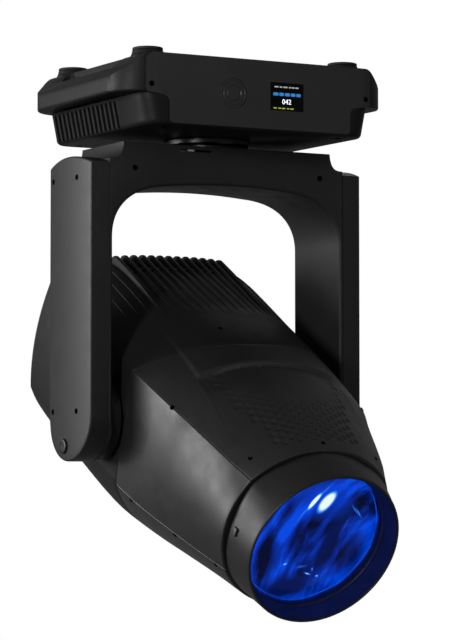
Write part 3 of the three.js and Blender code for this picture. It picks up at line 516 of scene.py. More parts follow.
def outward(q, s, low=-3.0, high=3.0):
    """Unit normal of the section, from points inside the strip low..high."""
    a, b = np.clip(q - 0.02, low, high), np.clip(q + 0.02, low, high)
    (u0, v0), (u1, v1) = section(a, s), section(b, s)
    length = np.hypot(u1 - u0, v1 - v0)
    return -(v1 - v0) / length, (u1 - u0) / length


def seam_roll(distance, radius=1.3):
    """How far a panel's surface turns in near its edge."""
    d = np.clip(distance, 0, radius)
    return radius - np.sqrt(np.maximum(radius ** 2 - (radius - d) ** 2, 0))


def skin(outer, inner, closed=False):
    """Closed shell between two grids of points, rows x columns x 3."""
    rows, columns = outer.shape[:2]
    vertices = np.concatenate([outer.reshape(-1, 3), inner.reshape(-1, 3)])
    index = np.arange(rows * columns).reshape(rows, columns)
    if closed:
        index = np.concatenate([index, index[:, :1]], axis=1)
    below = index + rows * columns

    def quads(a, b, c, d):
        return np.stack([a, b, c, d], axis=-1).reshape(-1, 4)

    faces = [quads(index[:-1, :-1], index[:-1, 1:], index[1:, 1:], index[1:, :-1]),
             quads(below[:-1, :-1], below[:-1, 1:], below[1:, 1:], below[1:, :-1])[:, ::-1]]
    rims = [(index[row], below[row]) for row in (0, -1)]
    if not closed:
        rims += [(index[:, column], below[:, column]) for column in (0, -1)]
    faces += [quads(top[:-1], top[1:], low[1:], low[:-1]) for top, low in rims]
    return build(vertices.tolist(), np.concatenate(faces).tolist())


def section_loop(s, thickness, top_steps, side_steps):
    """The whole section at s, moved in by thickness."""
    q = np.concatenate([np.linspace(0, 1, top_steps)[:-1], np.linspace(1, 2, side_steps)[:-1],
                        np.linspace(2, 3, top_steps)])
    q = np.concatenate([q, -q[1:-1][::-1]])
    s = np.full_like(q, s)
    (u, v), (nu, nv) = section(q, s), outward(q, s)
    return list(zip(u - nu * thickness, v - nv * thickness))


# ---------- head ----------
def joint_line(q):
    """Where the front cowl meets the rear housing: furthest forward at the top."""
    a = np.abs(q)
    return np.where(a <= 1, 75 - 33 * np.clip(a, 0, 1) ** 2, 42 + 20 * np.clip(a - 1, 0, 1))


def plateau(u, s):
    """Raised collar behind the dimpled field; its left and right edges are ridges that run in forwards."""
    inside = 1 - smooth(np.abs(u), 103.4, 105.4)
    return 3.0 * inside * smooth(s, -30, 60) * (1 - smooth(s, 118, 124))


def lip_line(u):
    return 122 + 3 * (np.abs(u) / 100) ** 2


def scoop(u, s):
    """Step down behind the lip that fades out towards the front."""
    depth, half_width, wall_length = 5.2, 106, 1.8
    lip = lip_line(u)
    across = np.clip(1 - (np.abs(u) / half_width) ** 2, 0, 1)
    return depth * across ** 0.6 * smooth(s, lip, lip + wall_length) * (1 - smooth(s, lip + 4, 292))


def dimples(u, s):
    """Round dimples on a staggered grid, inside a field that narrows towards the front."""
    pitch_u, pitch_s, first, front = 10.0, 13.2, 142, 284
    radius, depth, margin = 4.7, 2.2, 7
    column = np.round(u / pitch_u)
    shift = first + np.where(np.mod(column, 2) == 0, 0, pitch_s / 2)
    centre_s = shift + np.round((s - shift) / pitch_s) * pitch_s
    centre_u = column * pitch_u
    reach = np.hypot(u - centre_u, s - centre_s)
    half_width = 97 - 38 * (centre_s - 125) / 163
    inside = (np.abs(centre_u) <= half_width) & (centre_s > lip_line(centre_u) + margin) & (centre_s < front)
    return np.where(inside, depth * np.clip(1 - (reach / radius) ** 2, 0, 1), 0)


def top_relief(u, s):
    return plateau(u, s) - scoop(u, s) - dimples(u, s)


def dense_ends(low, high, count):
    """Section positions from low to high, close together at both ends."""
    end = (0, 0.0015, 0.004, 0.008, 0.013)
    middle = np.linspace(0.013, 0.987, count)[1:-1]
    return [low + (high - low) * share for share in [*end, *middle, *(1 - e for e in reversed(end))]]


def cowl_panel(node, columns, rows, normal, relief=None, trim=0.0):
    """One panel of the front cowl: rows run from the joint to the front, and all four edges roll in."""
    q = np.array(columns)[None, :]
    start = joint_line(q) + SEAM_GAP
    edge = np.array([0, 0.2, 0.5, 0.9, 1.4])
    middle = start + edge[-1] + (COWL_FRONT - start - 2 * edge[-1]) * np.linspace(0, 1, rows)[1:-1, None]
    s = np.concatenate([start + edge[:, None], middle, COWL_FRONT - edge[::-1, None] + 0 * start], axis=0)
    q = np.broadcast_to(q, s.shape)
    (u, v), (nu, nv) = section(q, s), normal(q, s)
    arc = np.cumsum(np.hypot(np.diff(u, prepend=u[:, :1]), np.diff(v, prepend=v[:, :1])), axis=1)
    sink = seam_roll(np.minimum(s - s[:1], s[-1:] - s)) + seam_roll(np.minimum(arc, arc[:, -1:] - arc))
    outer = np.stack([u - nu * sink, v - nv * sink + (relief(u, s) if relief else 0), s], axis=-1)
    inner = np.stack([u - nu * SHELL, v - nv * SHELL, s], axis=-1)
    along_section = np.stack([nv, -nu], axis=-1)
    for grid, gap in ((outer, trim), (inner, 4 * trim)):
        grid[:, 0, :2] += along_section[:, 0] * gap
        grid[:, -1, :2] -= along_section[:, -1] * gap
    refine(skin(outer, inner), node, shell_black, "head", "black_shell", turn=HEAD, angle=50)


def front_cowl():
    for node, low, high, count, rows, relief in (("top_cover", -1, 1, 170, 152, top_relief),
                                                 ("side_panel_right", 1, 2, 90, 62, None),
                                                 ("side_panel_left", -2, -1, 90, 62, None)):
        cowl_panel(node, dense_ends(low, high, count), rows, lambda q, s: outward(q, s, low, high), relief, 0.15)

    def bottom_normal(q, s):
        (u, v), radius = section(q, s), bottom_radius(s)
        return u / radius, (v - along(BOTTOM, s)) / radius - 1

    # the lower panel crosses the bottom centre, where the section position jumps from 3 to -3
    columns = [q if q <= 3 else q - 6 for q in dense_ends(2, 4, 100)]
    cowl_panel("bottom_cover", columns, 42, bottom_normal)


def fin_relief(u, s, surface_v):
    """New height of the rear housing's outside where the cooling fins are."""
    nearest = np.round(u / FIN_PITCH) * FIN_PITCH
    off = np.abs(u - nearest)
    on_fin = off <= FIN_HALF + 0.05
    level = 150.2 - 3.4 * np.abs(nearest / FIN_SPAN) ** 3
    corner = np.clip(off - (FIN_HALF - FIN_TIP), 0, FIN_TIP)
    crown = FIN_TIP - np.sqrt(np.maximum(FIN_TIP ** 2 - corner ** 2, 0))
    # blades behind the bridge: level tops, rounded and sloping rear ends
    end_radius, end_start = 14, -206
    end = np.clip(end_start - s, 0, end_radius)
    slope = np.clip(end_start - end_radius - s, 0, 16) * 1.45
    tip = level - crown - (end_radius - np.sqrt(end_radius ** 2 - end ** 2)) * 0.9 - slope
    blade = np.where(on_fin, np.maximum(tip, CAP_TOP + 3), CAP_TOP + 0.5)
    # ribs ahead of it, running out into the smooth shell
    fade = np.clip((-30 - s) / 140, 0, 1)
    rib = surface_v + (level - surface_v) * smooth(fade, 0, 1) * (level > surface_v)
    rib = rib - crown * np.clip(fade * 4, 0, 1)
    trough = surface_v - 3.0 * fade ** 0.6 * smooth(-s, 20, 40)
    shallow = rib + (trough - rib) * smooth(off, FIN_HALF - 1.0, FIN_HALF + 1.7)
    bridge_front, bridge_rear = -166.95, -172.55
    bridge = np.where(on_fin, rib, np.minimum(surface_v, rib))
    height = np.where(s < bridge_rear, blade, np.where(s > bridge_front, shallow, bridge))
    # grooves on the shoulders beside the fins, shallower on the left
    wide = np.abs(u) - (FIN_SPAN + 7)
    groove = np.abs(wide - np.round(wide / SIDE_GROOVE_PITCH) * SIDE_GROOVE_PITCH)
    depth = 5.5 * np.clip((-40 - s) / 180, 0, 1) ** 0.7 * smooth(s, REAR_JOINT + 4, REAR_JOINT + 9)
    in_groove = (groove < 3.0) & (wide > -3.2) & (wide < 41)
    drop = np.where(in_groove, depth * np.where(u < 0, 0.25, 1), 0)
    edge_radius = 8.5
    near = np.clip(REAR_JOINT + edge_radius - s, 0, edge_radius)
    edge = edge_radius - np.sqrt(np.maximum(edge_radius ** 2 - near ** 2, 0))
    central = np.abs(u) <= FIN_SPAN + FIN_HALF + 0.02
    return np.where(central, height, surface_v - drop - edge)


def rear_columns():
    """Distances from the centre of the columns over the finned top and the grooves beside it."""
    positions = {0.0}
    for rib in range(7):
        for off in (-5.2, -3.7, -3.2, -3.1, -2.9, -2.4, -1.5, 0, 1.5, 2.4, 2.9, 3.1, 3.2, 3.7, 5.2, 6.92):
            at = rib * FIN_PITCH + off
            if 0 < at < FIN_SPAN + 3.15:
                positions.add(round(at, 3))
    for groove in range(4):
        for off in (-6.25, -3.4, -3.05, -2.95, -2, 0, 2, 2.95, 3.05, 3.4):
            at = FIN_SPAN + 7 + groove * SIDE_GROOVE_PITCH + off
            if at > FIN_SPAN + 3.2:
                positions.add(round(at, 3))
    return sorted(positions)


def rear_housing():
    """Columns over the top keep their distance from the centre; beside them they fan out to the crease."""
    half = rear_columns()
    last = half[-1]
    stations = [REAR_JOINT, -235.6, -234.2, *range(-232, -204, 3), -190, -176, -173.2, -172.7, -172.5, -171.9,
                -169.8, -167.6, -167.0, -166.9, -166, *range(-160, -59, 10), -52, -44, -38, -32, -26, -18,
                -10, 0]
    side = [*np.linspace(1, 2, 23)[1:], *np.linspace(2, 3, 35)[1:]]
    right = [("top", p) for p in half] + [("fan", f) for f in np.linspace(0, 1, 8)[1:]]
    right += [("side", q) for q in side]
    tags = [(*tag, 1) for tag in right] + [(*tag, -1) for tag in reversed(right[1:-1])]

    def column(kind, value, sign):
        if kind == "side":
            reach = value
        else:
            reach = (value if kind == "top" else last + value * (CREASE_MAX - last)) / CREASE_MAX
        end = joint_line(np.array(reach))
        s = np.array(stations + [share * end for share in np.linspace(0, 1, 16)[1:]])
        if kind == "side":
            return s, np.full_like(s, value * sign)
        inner = (value if kind == "top" else last) / along(CREASE_U, s)
        return s, sign * (inner if kind == "top" else inner + value * (1 - inner))

    s, q = np.array([column(*tag) for tag in tags]).transpose(1, 2, 0)
    (u, v), (nu, nv) = section(q, s), outward(q, s)
    sink = seam_roll(s[-1:] - s)
    height = np.where(np.abs(q) < 1, fin_relief(u, s, v) + plateau(u, s), v)
    outer = np.stack([u - nu * sink, height - nv * sink, s], axis=-1)
    inner = np.stack([u - nu * 4, np.minimum(v - nv * 4, 104), s], axis=-1)
    refine(skin(outer, inner, closed=True), "rear_housing", casting_black, "head", "black_casting", turn=HEAD,
           angle=40)


def rear_cap():
    start, radius, wall = REAR_JOINT - 0.3, 9.0, 4

    def loop(at, thickness=0.0, s=None):
        return [(u, min(v, CAP_TOP - thickness), at if s is None else s)
                for u, v in section_loop(at, thickness, 41, 25)]

    rings = [loop(start, 0.8), loop(start - 0.8)]
    rings += [loop(s) for s in np.linspace(start - 2, REAR_FACE + radius, 5)]
    rings += [loop(REAR_FACE + radius, depth, REAR_FACE + rise) for rise, depth in rounding(radius, 8)[1:]]
    body = loft(rings)
    combine(body, [loft([loop(start + 5, wall), loop(REAR_FACE + 8, wall),
                         loop(REAR_FACE + 8, 8, REAR_FACE + wall)])])
    slots = []
    for side in (-1, 1):
        for row in range(-5, 6):
            v = row * 9.4
            points = rounded_rectangle(math.sqrt(52 ** 2 - v ** 2), 2.9, 2.8, side * 62, v - 16, 4)
            slots.append(slab(points, REAR_FACE - 3, REAR_FACE + 12))
    combine(body, slots)
    refine(body, "rear_cap", shell_black, "head", "black_shell", turn=HEAD, angle=35)


def ring_radius(angle, s):
    """The ring's rear follows the cowl's corners, and its front rim is round."""
    corner, lower = math.atan2(74, 105), math.atan2(-60, 104)
    reach = 0.0
    for at, height, width in ((corner, 6.0, 0.42), (math.pi - corner, 6.0, 0.42), (lower, 1.5, 0.4),
                              (math.pi - lower, 1.5, 0.4)):
        away = (angle - at + math.pi) % (2 * math.pi) - math.pi
        reach = max(reach, height * (1 - abs(away) / width))
    rear_radius, rim_radius = 113.4, 108.6
    rear = rear_radius + reach + 1.6 * abs(math.cos(angle)) ** 3
    return rear + (rim_radius - rear) * min(max((s - 308) / 50, 0), 1)


def front_ring():
    segments = 144
    outer = [(307.6, -1.0), (308, -0.4), (308.8, 0)] + [(s, 0) for s in np.linspace(314, 358.6, 12)]
    bore = [(108.3, 359.6), (107.8, 360.4), (107, 360.7), (106.2, 360.7), (105.6, 360.3), (105.3, 359.4),
            (104.9, 352), (104.4, 344), (103.9, 336.6), (103.2, 335), (101.4, 334.5), (99, 334.4),
            (98.4, 333.6), (98.4, 331), (107.5, 331), (107.5, 307.6)]
    rings = []
    for k in range(segments):
        angle = 2 * math.pi * k / segments
        lean = 1.9 * max(0.0, math.sin(angle)) ** 2
        profile = [(ring_radius(angle, s) + d, s - (lean if s < 309 else 0)) for s, d in outer] + bore
        rings.append([(r * math.cos(angle), r * math.sin(angle), s) for r, s in profile])
    refine(loft(rings, around=True), "front_ring", cover_black, "head", "black_shell", turn=HEAD, angle=30)

    grooves, pitch = 12, 1.9
    baffle = [(98.5, 334.9), (103, 335.5)]
    for i in range(grooves):
        s, r = 336.6 + i * pitch, 104.0 + i * 0.09
        baffle += [(r - 0.7, s), (r - 0.75, s + 0.9), (r - 0.1, s + 1.3)]
    baffle += [(104.9, 359.2), (104.4, 336.2), (103, 334.9), (98.5, 334.5)]
    # The baffle's blue is painted light from the lens.
    show(turned(baffle, 128), "ring_baffle", painted_blue_light_lining, "head", "dark_metal", turn=HEAD)

    depths = ((3.2, 299.0), (3.2, 303.9), (3.6, 304.6))
    bulkhead = stacked([(section_loop(303.0, depth, 33, 17), s) for depth, s in depths])
    combine(bulkhead, [rod(RING_BORE, 290, 320, segments=96)])
    show(bulkhead, "cowl_bulkhead", shell_black, "head", "dark_metal", turn=HEAD)
    lug = slab(rounded_rectangle(4.5, 6, 2, 0, 0, 4), 0, 3.2, high=1.0)
    place = Matrix.Rotation(math.radians(177), 4, "Z") @ Matrix.Translation((112.6, 0, 320))
    show(lug, "ring_lug", shell_black, "head", "black_shell",
         turn=HEAD @ place @ Matrix.Rotation(math.radians(90), 4, "Y"))


def lens_optics():
    lens_radius, dome_height = 98, 13
    dome = [(lens_radius * (1 - i / 12), 330.6 + dome_height * (1 - (1 - i / 12) ** 2)) for i in range(12)]
    lens = turned([(0.01, 314.2), (60, 315.6), (100, 319.2), (106.6, 319.2), (106.9, 320), (106.9, 330),
                   (106.4, 330.6), *dome, (0.01, 343.6)], 128)
    refine(lens, "front_lens", clear_glass, "head", "front_glass", turn=HEAD, angle=25)
    bowl = [(max(100 * share, 0.01), 284 + 29 * share ** 2) for share in np.linspace(0, 1, 21)]
    back = [(r, s - 2.5) for r, s in reversed(bowl)]
    # The inner optic carries painted blue glow, painted shade and painted highlights.
    show(turned(bowl + back, 128), "inner_optic", painted_optic_glow(), "head", "inner_glass", turn=HEAD, angle=60)
    bead = [(96.5 + 0.8 * math.cos(a), 313.2 + 0.8 * math.sin(a))
            for a in [2 * math.pi * i / 10 for i in range(10)]]
    # Painted glow: the bright blue edge ring of the optics.
    show(turned(bead, 128), "optic_ring_96", painted_blue_edge, "head", "inner_glass", turn=HEAD)
    tube = turned([(101, 262), (107.2, 262), (107.2, 305), (106.8, 305.4), (106.8, 318.7), (100.3, 318.7),
                   (100.3, 313), (101, 312.4)], 96)
    # The barrel's blue is painted light from the lens.
    refine(tube, "lens_barrel", painted_blue_light_lining, "head", "dark_metal", turn=HEAD)


# Painted highlights in the optics, standing for reflections: place, half sizes, lean in degrees and strength.
PAINTED_HIGHLIGHTS = [(29, 31, 9, 22, -18, 2.0), (13, 30, 4.2, 19, -20, 1.8), (-17, 50, 4, 10, -26, 1.8),
          (-27, 47, 3, 6, -26, 1.6), (20, 46, 3, 30, -22, 0.4), (4, 12, 2.4, 30, -24, 0.4),
          (72, 22, 1.6, 12, 40, 0.5), (66, 26, 1.6, 12, 40, 0.4), (-10, -55, 5, 1.6, 20, 0.8),
          (22, -66, 6, 1.5, -12, 0.8), (35, -68, 3, 1.5, 14, 0.8), (28, -60, 1.5, 3, 0, 0.6),
          (12, -58, 14, 2.4, 12, 0.3), (60, 0, 3, 26, -14, 0.2), (-46, 14, 3, 26, -24, 0.2)]
# Painted shade: dark patches of the same kind.
PAINTED_SHADES = [(46, -18, 12, 60, -18, 1.5), (-10, -84, 62, 20, 10, 1.6), (78, -36, 18, 42, -12, 1.2),
          (-40, 16, 7, 40, -24, 0.9), (2, 54, 6, 26, -22, 0.9), (58, 44, 6, 26, -16, 1.2),
          (20, -34, 22, 9, 24, 0.9)]
# Painted glow of the same kind: a brighter blue haze.
PAINTED_HALO = [(20, 40, 50, 40, -24, 1.1)]


def blobs(tree, local, spots):
    """Soft oval spots in the head's own frame, 0 to 1."""
    total = None
    for u, v, wide, tall, lean, gain in spots:
        place = placed(tree, local, "TEXTURE", (u * MM, v * MM, 0.3), (0, 0, math.radians(lean)),
                       (wide * MM, tall * MM, 1000))
        fall = add_node(tree, "TexGradient", "Fac", {"Vector": place}, gradient_type="SPHERICAL")
        spot = math_node(tree, "MULTIPLY", fall, gain, clamp=True)
        total = spot if total is None else math_node(tree, "MAXIMUM", total, spot)
    return total


def painted_optic_glow():
    """Painted blue glow in the optics, though no lamp is on: streaked arcs, darker facets of painted shade, a few
    painted highlights for reflections.
    """
    material, tree, shader = new_material("painted_optic_glow")
    inward = HEAD.inverted()
    local = coordinates(tree, location=inward.to_translation() * MM, rotation=inward.to_euler())
    lean = (0, 0, math.radians(-24))
    streaks = noise(tree, placed(tree, local, "TEXTURE", rotation=lean, scale=(0.30, 1.6, 1)), 26, 8, 0.68)
    stretched = placed(tree, local, "TEXTURE", rotation=lean, scale=(0.5, 1.6, 1))
    facets = add_node(tree, "TexVoronoi", "Distance", {"Vector": stretched, "Scale": 22})
    blend = mixed(tree, 0.45, streaks, facets, "FLOAT")
    color = ramp(tree, blend, [(0.39, (0.0, 0.001, 0.02)), (0.45, (0.0002, 0.012, 0.18)),
                               (0.53, (0.0003, 0.034, 0.46)), (0.61, (0.001, 0.085, 0.95))])
    # Painted shade: darker patches over the glow.
    color = mixed(tree, blobs(tree, local, PAINTED_SHADES), color, (0.0001, 0.006, 0.085, 1))
    color = mixed(tree, blobs(tree, local, PAINTED_HALO), color, (0.001, 0.06, 0.75, 1))
    # Painted highlights standing for reflections of the lamps, mixed over the glow.
    painted_shine = blobs(tree, local, PAINTED_HIGHLIGHTS)
    lit = ramp(tree, painted_shine, [(0.1, (0.001, 0.08, 0.9)), (0.5, (0.05, 0.4, 1.25)), (0.85, (1.2, 1.3, 1.35))])
    color = mixed(tree, math_node(tree, "MULTIPLY", painted_shine, 2.2, clamp=True), color, lit)
    connect(tree, shader, {"Emission Color": color, "Emission Strength": 0.8, "Roughness": 0.5,
                           "Base Color": (0.0, 0.004, 0.05, 1), "Specular IOR Level": 0.0})
    return material


def tilt_hubs():
    profile = [(15, 146.5), (24, 146.5), (24, 160.6), (56, 160.6), (58, 162.4), (58, 174.6), (56.4, 176.9),
               (24, 176.9), (24, 205.2), (23.2, 206), (15, 206)]
    for side, word in SIDES:
        hub = turned([(r, side * x) for r, x in profile], 72, "X", (0, TILT_Z))
        refine(hub, f"tilt_hub_{word}", anodised, "head", "dark_metal")


def head_screws():
    def at(u, v, s, direction):
        return HEAD @ Vector((u, v, s)), HEAD.to_3x3() @ Vector(direction)

    def on_section(q, s):
        return [float(value[0]) for value in section(np.array([q]), np.array([float(s)]))]

    places = []
    for u, s in ((-94.5, 279), (94.5, 279), (0, 290), (-34, 29)):
        _, v = on_section(u / along(CREASE_U, s), s)
        places.append(at(u, v + float(top_relief(np.float64(u), s)) - 0.3, s, (u / 190, 0.85, 0.12)))
    for side in (-1, 1):
        places.append(at(side * 146.4, 92.4, 146, (side * 0.8, 0.6, 0.1)))
        for s in (100, 200, 285):
            u, v = on_section(2.03, s)
            places.append(at(side * u, v, s, (side * 0.7, -0.7, 0.1)))
    for u, v in ((-125, 60), (-120, -80), (125, 60), (120, -80), (0, 78), (0, -140)):
        places.append(at(u, v, REAR_FACE, (0, 0, -1)))
    screws("head", places, 3.2)


# ---------- base ----------
def plan_rectangle(half_width, radius, shrink=0.0):
    """Plan of the base: the front face stands 3 mm further out than the rear."""
    return rounded_rectangle(half_width - shrink, BASE_HALF_DEPTH - shrink, max(radius - shrink, 1.5), 0, -1.5, 12)


def panel_half():
    """Right half of the front panel's outline."""
    return path((158, 4.6), ((172, 4.6), (174, -4), 8), (174, -20), (174, -44), ((174, -48), (168, -48.8), 4),
                (150, -51.2), ((140, -52.4), (140, -62), 6), (140, -82), ((140, -88), (134, -88), 5))


def panel_recess():
    """The front panel's room in the castings, 0.25 mm larger all round."""
    return slab(inset(mirrored(panel_half()), -0.25), -160, -146.2, axis="Y")


def base_casting():
    profile = path((168, CASTING_TOP), ((178, 2), (184, -9), (200, -19), 14), ((209, -24), (209, -32), 8),
                   (209, -38), (209, -43), ((209, -48), (203, CASTING_BOTTOM), 6))
    body = slab(mirrored(profile), -160, 160, axis="Y")
    edge = rounding(3.0, 5)
    rims = [(d, CASTING_BOTTOM + h) for d, h in edge] + [(d, CASTING_TOP - h) for d, h in reversed(edge)]
    plan = stacked([(plan_rectangle(BASE_HALF_WIDTH, BASE_CORNER, d), z) for d, z in rims])
    combine(body, [plan], "INTERSECT")
    combine(body, [box(-158, 158, -143, 143, -60, -8)])
    combine(body, [slab(rounded_rectangle(129, 91, 3), -12, 20)])
    combine(body, [panel_recess(), box(-112, 112, 138, 160, -60, -12)])
    combine(body, [slab(rounded_rectangle(10.5, 82, 10, side * 177), -80, 30) for side in (-1, 1)])
    soften(body, 1.0, 50)
    boss = [(0.01, -3), (24, -3), (23.4, 3.2), (22, 5.6), (21.2, 8), (21, 10.2), (20.6, 11.2), (19.8, 11.5),
            (0.01, 11.5)]
    combine(body, [turned(boss, 64, "Z", foot) for foot in FEET], "UNION")
    refine(body, "base_casting", casting_black, "base", "black_casting")
    pad = [(0.01, 11.8), (20, 11.8), (20.5, 12.3), (20.5, 14.2), (20.1, 15.1), (19, 15.5), (15.5, 15.5),
           (15, 15), (8, 15), (7.5, 13.5), (0.01, 13.5)]
    for i, foot in enumerate(FEET):
        refine(turned(pad, 64, "Z", foot), f"foot_pad_{i + 1}", rubber, "base", "rubber")


def front_panel():
    body = slab(mirrored(panel_half()), -160, -146.5, axis="Y")
    combine(body, [slab(plan_rectangle(BASE_HALF_WIDTH, BASE_CORNER), -100, 10)], "INTERSECT")
    combine(body, [box(14, 66, -160, -143, -62, -24)])
    combine(body, [rod(20.3, -160, -151, "Y", BADGE, 64)])
    combine(body, [rod(3.9, -160, -150.6, "Y", (side * 166, -38), 24) for side in (-1, 1)])
    soften(body, 0.5, 50)
    refine(body, "front_panel", shell_black, "base", "black_shell")
    disc = turned([(0.01, -151.4), (20, -151.4), (20, -152.5), (19.5, -152.9), (17.2, -152.9), (16.6, -152.4),
                   (15.6, -152.4), (15, -152.9), (11.5, -152.9), (10.9, -152.3), (10, -152.3), (9.4, -152.8),
                   (0.01, -152.8)], 96, "Y", BADGE)
    refine(disc, "badge_disc", shell_black, "base", "black_shell")


def display():
    """Digits, and rows of plain bars in place of words; a bar is its centre and half width."""
    centre, _ = DISPLAY
    window = slab(rounded_rectangle(25.7, 18.7, 0.8, *DISPLAY, 3), -147, DISPLAY_FACE, axis="Y")
    refine(window, "display_window", screen_black, "base", "screen")
    text = bpy.data.curves.new("digits", "FONT")
    text.body = "042"
    text.size = 9.6
    text.extrude = 0.12
    text.align_x = text.align_y = "CENTER"
    holder = linked("digits", text)
    digits = linked("digits_mesh", settled(holder))
    bpy.data.objects.remove(holder)
    digits.data.transform(Matrix.Translation((centre, DISPLAY_FACE - 0.13, -49.8))
                          @ Matrix.Rotation(math.pi / 2, 4, "X"))
    show(digits, "display_digits", emission("display_white", (0.9, 0.95, 1.0), 1.6), "base", "screen")
    rows = (("display_band", "display_cyan", (0.02, 0.22, 0.6), 1.0, -39.6, 2.1,
             ((-17, 4), (-8, 3.6), (1, 3.8), (10, 3.6), (18.5, 3.4))),
            ("display_marks", "display_grey", (0.6, 0.6, 0.6), 0.7, -29.7, 0.9,
             ((-16, 3), (-9, 2), (-2, 3.2), (5, 1.6), (10, 2.2), (16, 2.6))),
            ("display_hints", "display_lime", (0.45, 0.55, 0.05), 0.8, -58.6, 0.8,
             ((-18, 2.6), (-11, 2), (-5, 2.6), (2, 1.6), (8, 3))))
    for name, paint, color, strength, z, half_height, bars in rows:
        pieces = [slab(rounded_rectangle(half, half_height, min(half, half_height) * 0.6, centre + x, z, 3),
                       DISPLAY_FACE - 0.25, DISPLAY_FACE - 0.01, axis="Y") for x, half in bars]
        show(join(pieces), name, emission(paint, color, strength), "base", "screen")


def housing_shell():
    """Outside of the lower housing: leaning flanks and a rounded underside."""
    top, flank_height, lean, rim_width, rim_height = -48.3, 35.5, 7.2, 6.8, 7.2
    layers = [(plan_rectangle(HOUSING_HALF_WIDTH - lean * t, HOUSING_CORNER), top - t * flank_height)
              for t in np.linspace(0, 1, 5)]
    for i in range(1, 7):
        angle = i / 6 * math.pi / 2
        plan = plan_rectangle(HOUSING_HALF_WIDTH - lean, HOUSING_CORNER, rim_width * (1 - math.cos(angle)))
        layers.append((plan, top - flank_height - rim_height * math.sin(angle)))
    return stacked(layers)


def flank(side, low, high, *rest):
    return box(*sorted((side * low, side * high)), *rest)


def base_housing():
    body = housing_shell()
    hollow = ((174, 3, -40), (169, 5, -83), (166, 9, -88))
    combine(body, [stacked([(plan_rectangle(half, 25, shrink), z) for half, shrink, z in hollow])])
    combine(body, [panel_recess(), box(-112, 112, 140, 160, -84, -30)])
    combine(body, [rod(48, -100, -80, "Z", (0, 0), 72)])
    vent_end = VENT_START + VENT_LENGTH
    combine(body, [flank(side, 158, 190, VENT_START - 0.3, vent_end + 0.3, -89.8, -50.2) for side in (-1, 1)])
    soften(body, 0.5, 40)
    refine(body, "base_housing", housing_black, "base", "black_shell", angle=35)
    for side, word in SIDES:
        panel = housing_shell()
        combine(panel, [flank(side, 158, 190, VENT_START, vent_end, -89.5, -50.5)], "INTERSECT")
        slots = []
        for i in range(VENT_SLOTS):
            y = VENT_START + (i + 0.5) * VENT_LENGTH / VENT_SLOTS
            slots.append(slab(rounded_rectangle(3.7, 18.6, 3.4, y, -70, 5), *sorted((side * 150, side * 190)),
                              axis="X"))
        combine(panel, slots)
        soften(panel, 0.5, 40)
        refine(panel, f"vent_panel_{word}", housing_black, "base", "black_shell", angle=35)
        mesh = flank(side, 156, 157, VENT_START - 1, vent_end + 1, -88, -50)
        show(mesh, f"vent_mesh_{word}", inner_black, "base", "dark_metal")


def bearing_ring():
    ring = turned([(35, -88), (47.5, -88), (47.5, -91.3), (59, -91.3), (60, -92.2), (60, -97.4), (59.2, -98.6),
                   (57.4, -101), (56.6, -101.5), (35, -101.5)], 96)
    # The ring's darkened steel paints the shade of the gap it sits in.
    refine(ring, "pan_bearing_ring", gap_shaded_steel, "base", "steel")


def base_screws():
    places = [((side * 166, -150.9, -38), (0, -1, 0)) for side in (-1, 1)]
    places += [((x, y, 5.2), (0, 0, 1)) for x in (-140, 140) for y in (-60, 60)]
    places += [((x, y, 0.2), (0, 0, 1)) for x in (-118, 118) for y in (-80, 80)]
    places += [((x, 149.1, z), (0, 1, 0)) for x in (-106, 106) for z in (-18, -78)]
    places += [((x, y, -91.1), (0, 0, -1)) for x in (-135, 135) for y in (-128, 128)]
    screws("base", places, 3.6)


# ---------- yoke ----------
def arch_outline(grow):
    """Opening between the arms, larger by grow."""
    right = path((OPENING_HALF_WIDTH, -600), (OPENING_HALF_WIDTH, -400), (OPENING_HALF_WIDTH, -234),
                 ((OPENING_HALF_WIDTH, -194), (150, -165.5), (92, -162), 26), ((46, -157.5), (0, -157.5), 10))
    return inset(right + [(-x, z) for x, z in reversed(right[:-1])], -grow)


def arm_side(rise=0.0):
    """Side view (y, z) of an arm, anticlockwise."""
    half, top = YOKE_HALF_DEPTH, ARM_TOP + rise
    angles = [math.pi + i / 32 * math.pi for i in range(33)]
    flat = np.linspace(TILT_Z + 20, -150, 12)
    return ([(half * math.cos(a), TILT_Z + ARM_END_HEIGHT * math.sin(a)) for a in angles]
            + [(half, z) for z in flat] + path((half, top), ((0, top + 22), (-half, top), 22))
            + [(-half, z) for z in reversed(flat)])


def yoke_frame():
    outline = path((162, YOKE_TOP), ((163.5, -127), (176.6, -128), 10), (ARM_SEAM, -128.6), (ARM_SEAM, -250),
                   (ARM_SEAM, -400), (ARM_SEAM, -560))
    body = slab(mirrored(outline), -YOKE_HALF_DEPTH, YOKE_HALF_DEPTH, low=1.2, high=1.2, steps=3, axis="Y")
    fillet = [(4.8, -70)] + [(d, h - YOKE_HALF_DEPTH) for d, h in rounding(5.0, 6)]
    fillet += [(grow, -y) for grow, y in reversed(fillet)]
    combine(body, [stacked([(arch_outline(grow), y) for grow, y in fillet], "Y")])
    ends = slab(arm_side(30), -200, 200, axis="X")
    combine(ends, [box(-200, 200, -70, 70, -170, -100)], "UNION")
    combine(body, [ends], "INTERSECT")
    combine(body, [box(-148, 148, -59, 80, -148, -111)])
    combine(body, [rod(36, -120, -100, "Z", (0, 0), 64)])
    combine(body, [rod(HUB_BORE, *sorted((side * 170, side * 190)), "X", (0, TILT_Z), 72) for side in (-1, 1)])
    combine(body, [slab(rounded_rectangle(25, 1.6, 1.2, -51, -112.2, 4), -70, -56, axis="Y")])
    refine(body, "yoke_frame", frame_black, "yoke", "black_shell", angle=30)


def crown_x(y):
    """The covers' faces are slightly domed from front to rear."""
    share = np.minimum(np.abs(y), YOKE_HALF_DEPTH) / YOKE_HALF_DEPTH
    return ARM_CORNER + ARM_CROWN * (1 - share ** 2)


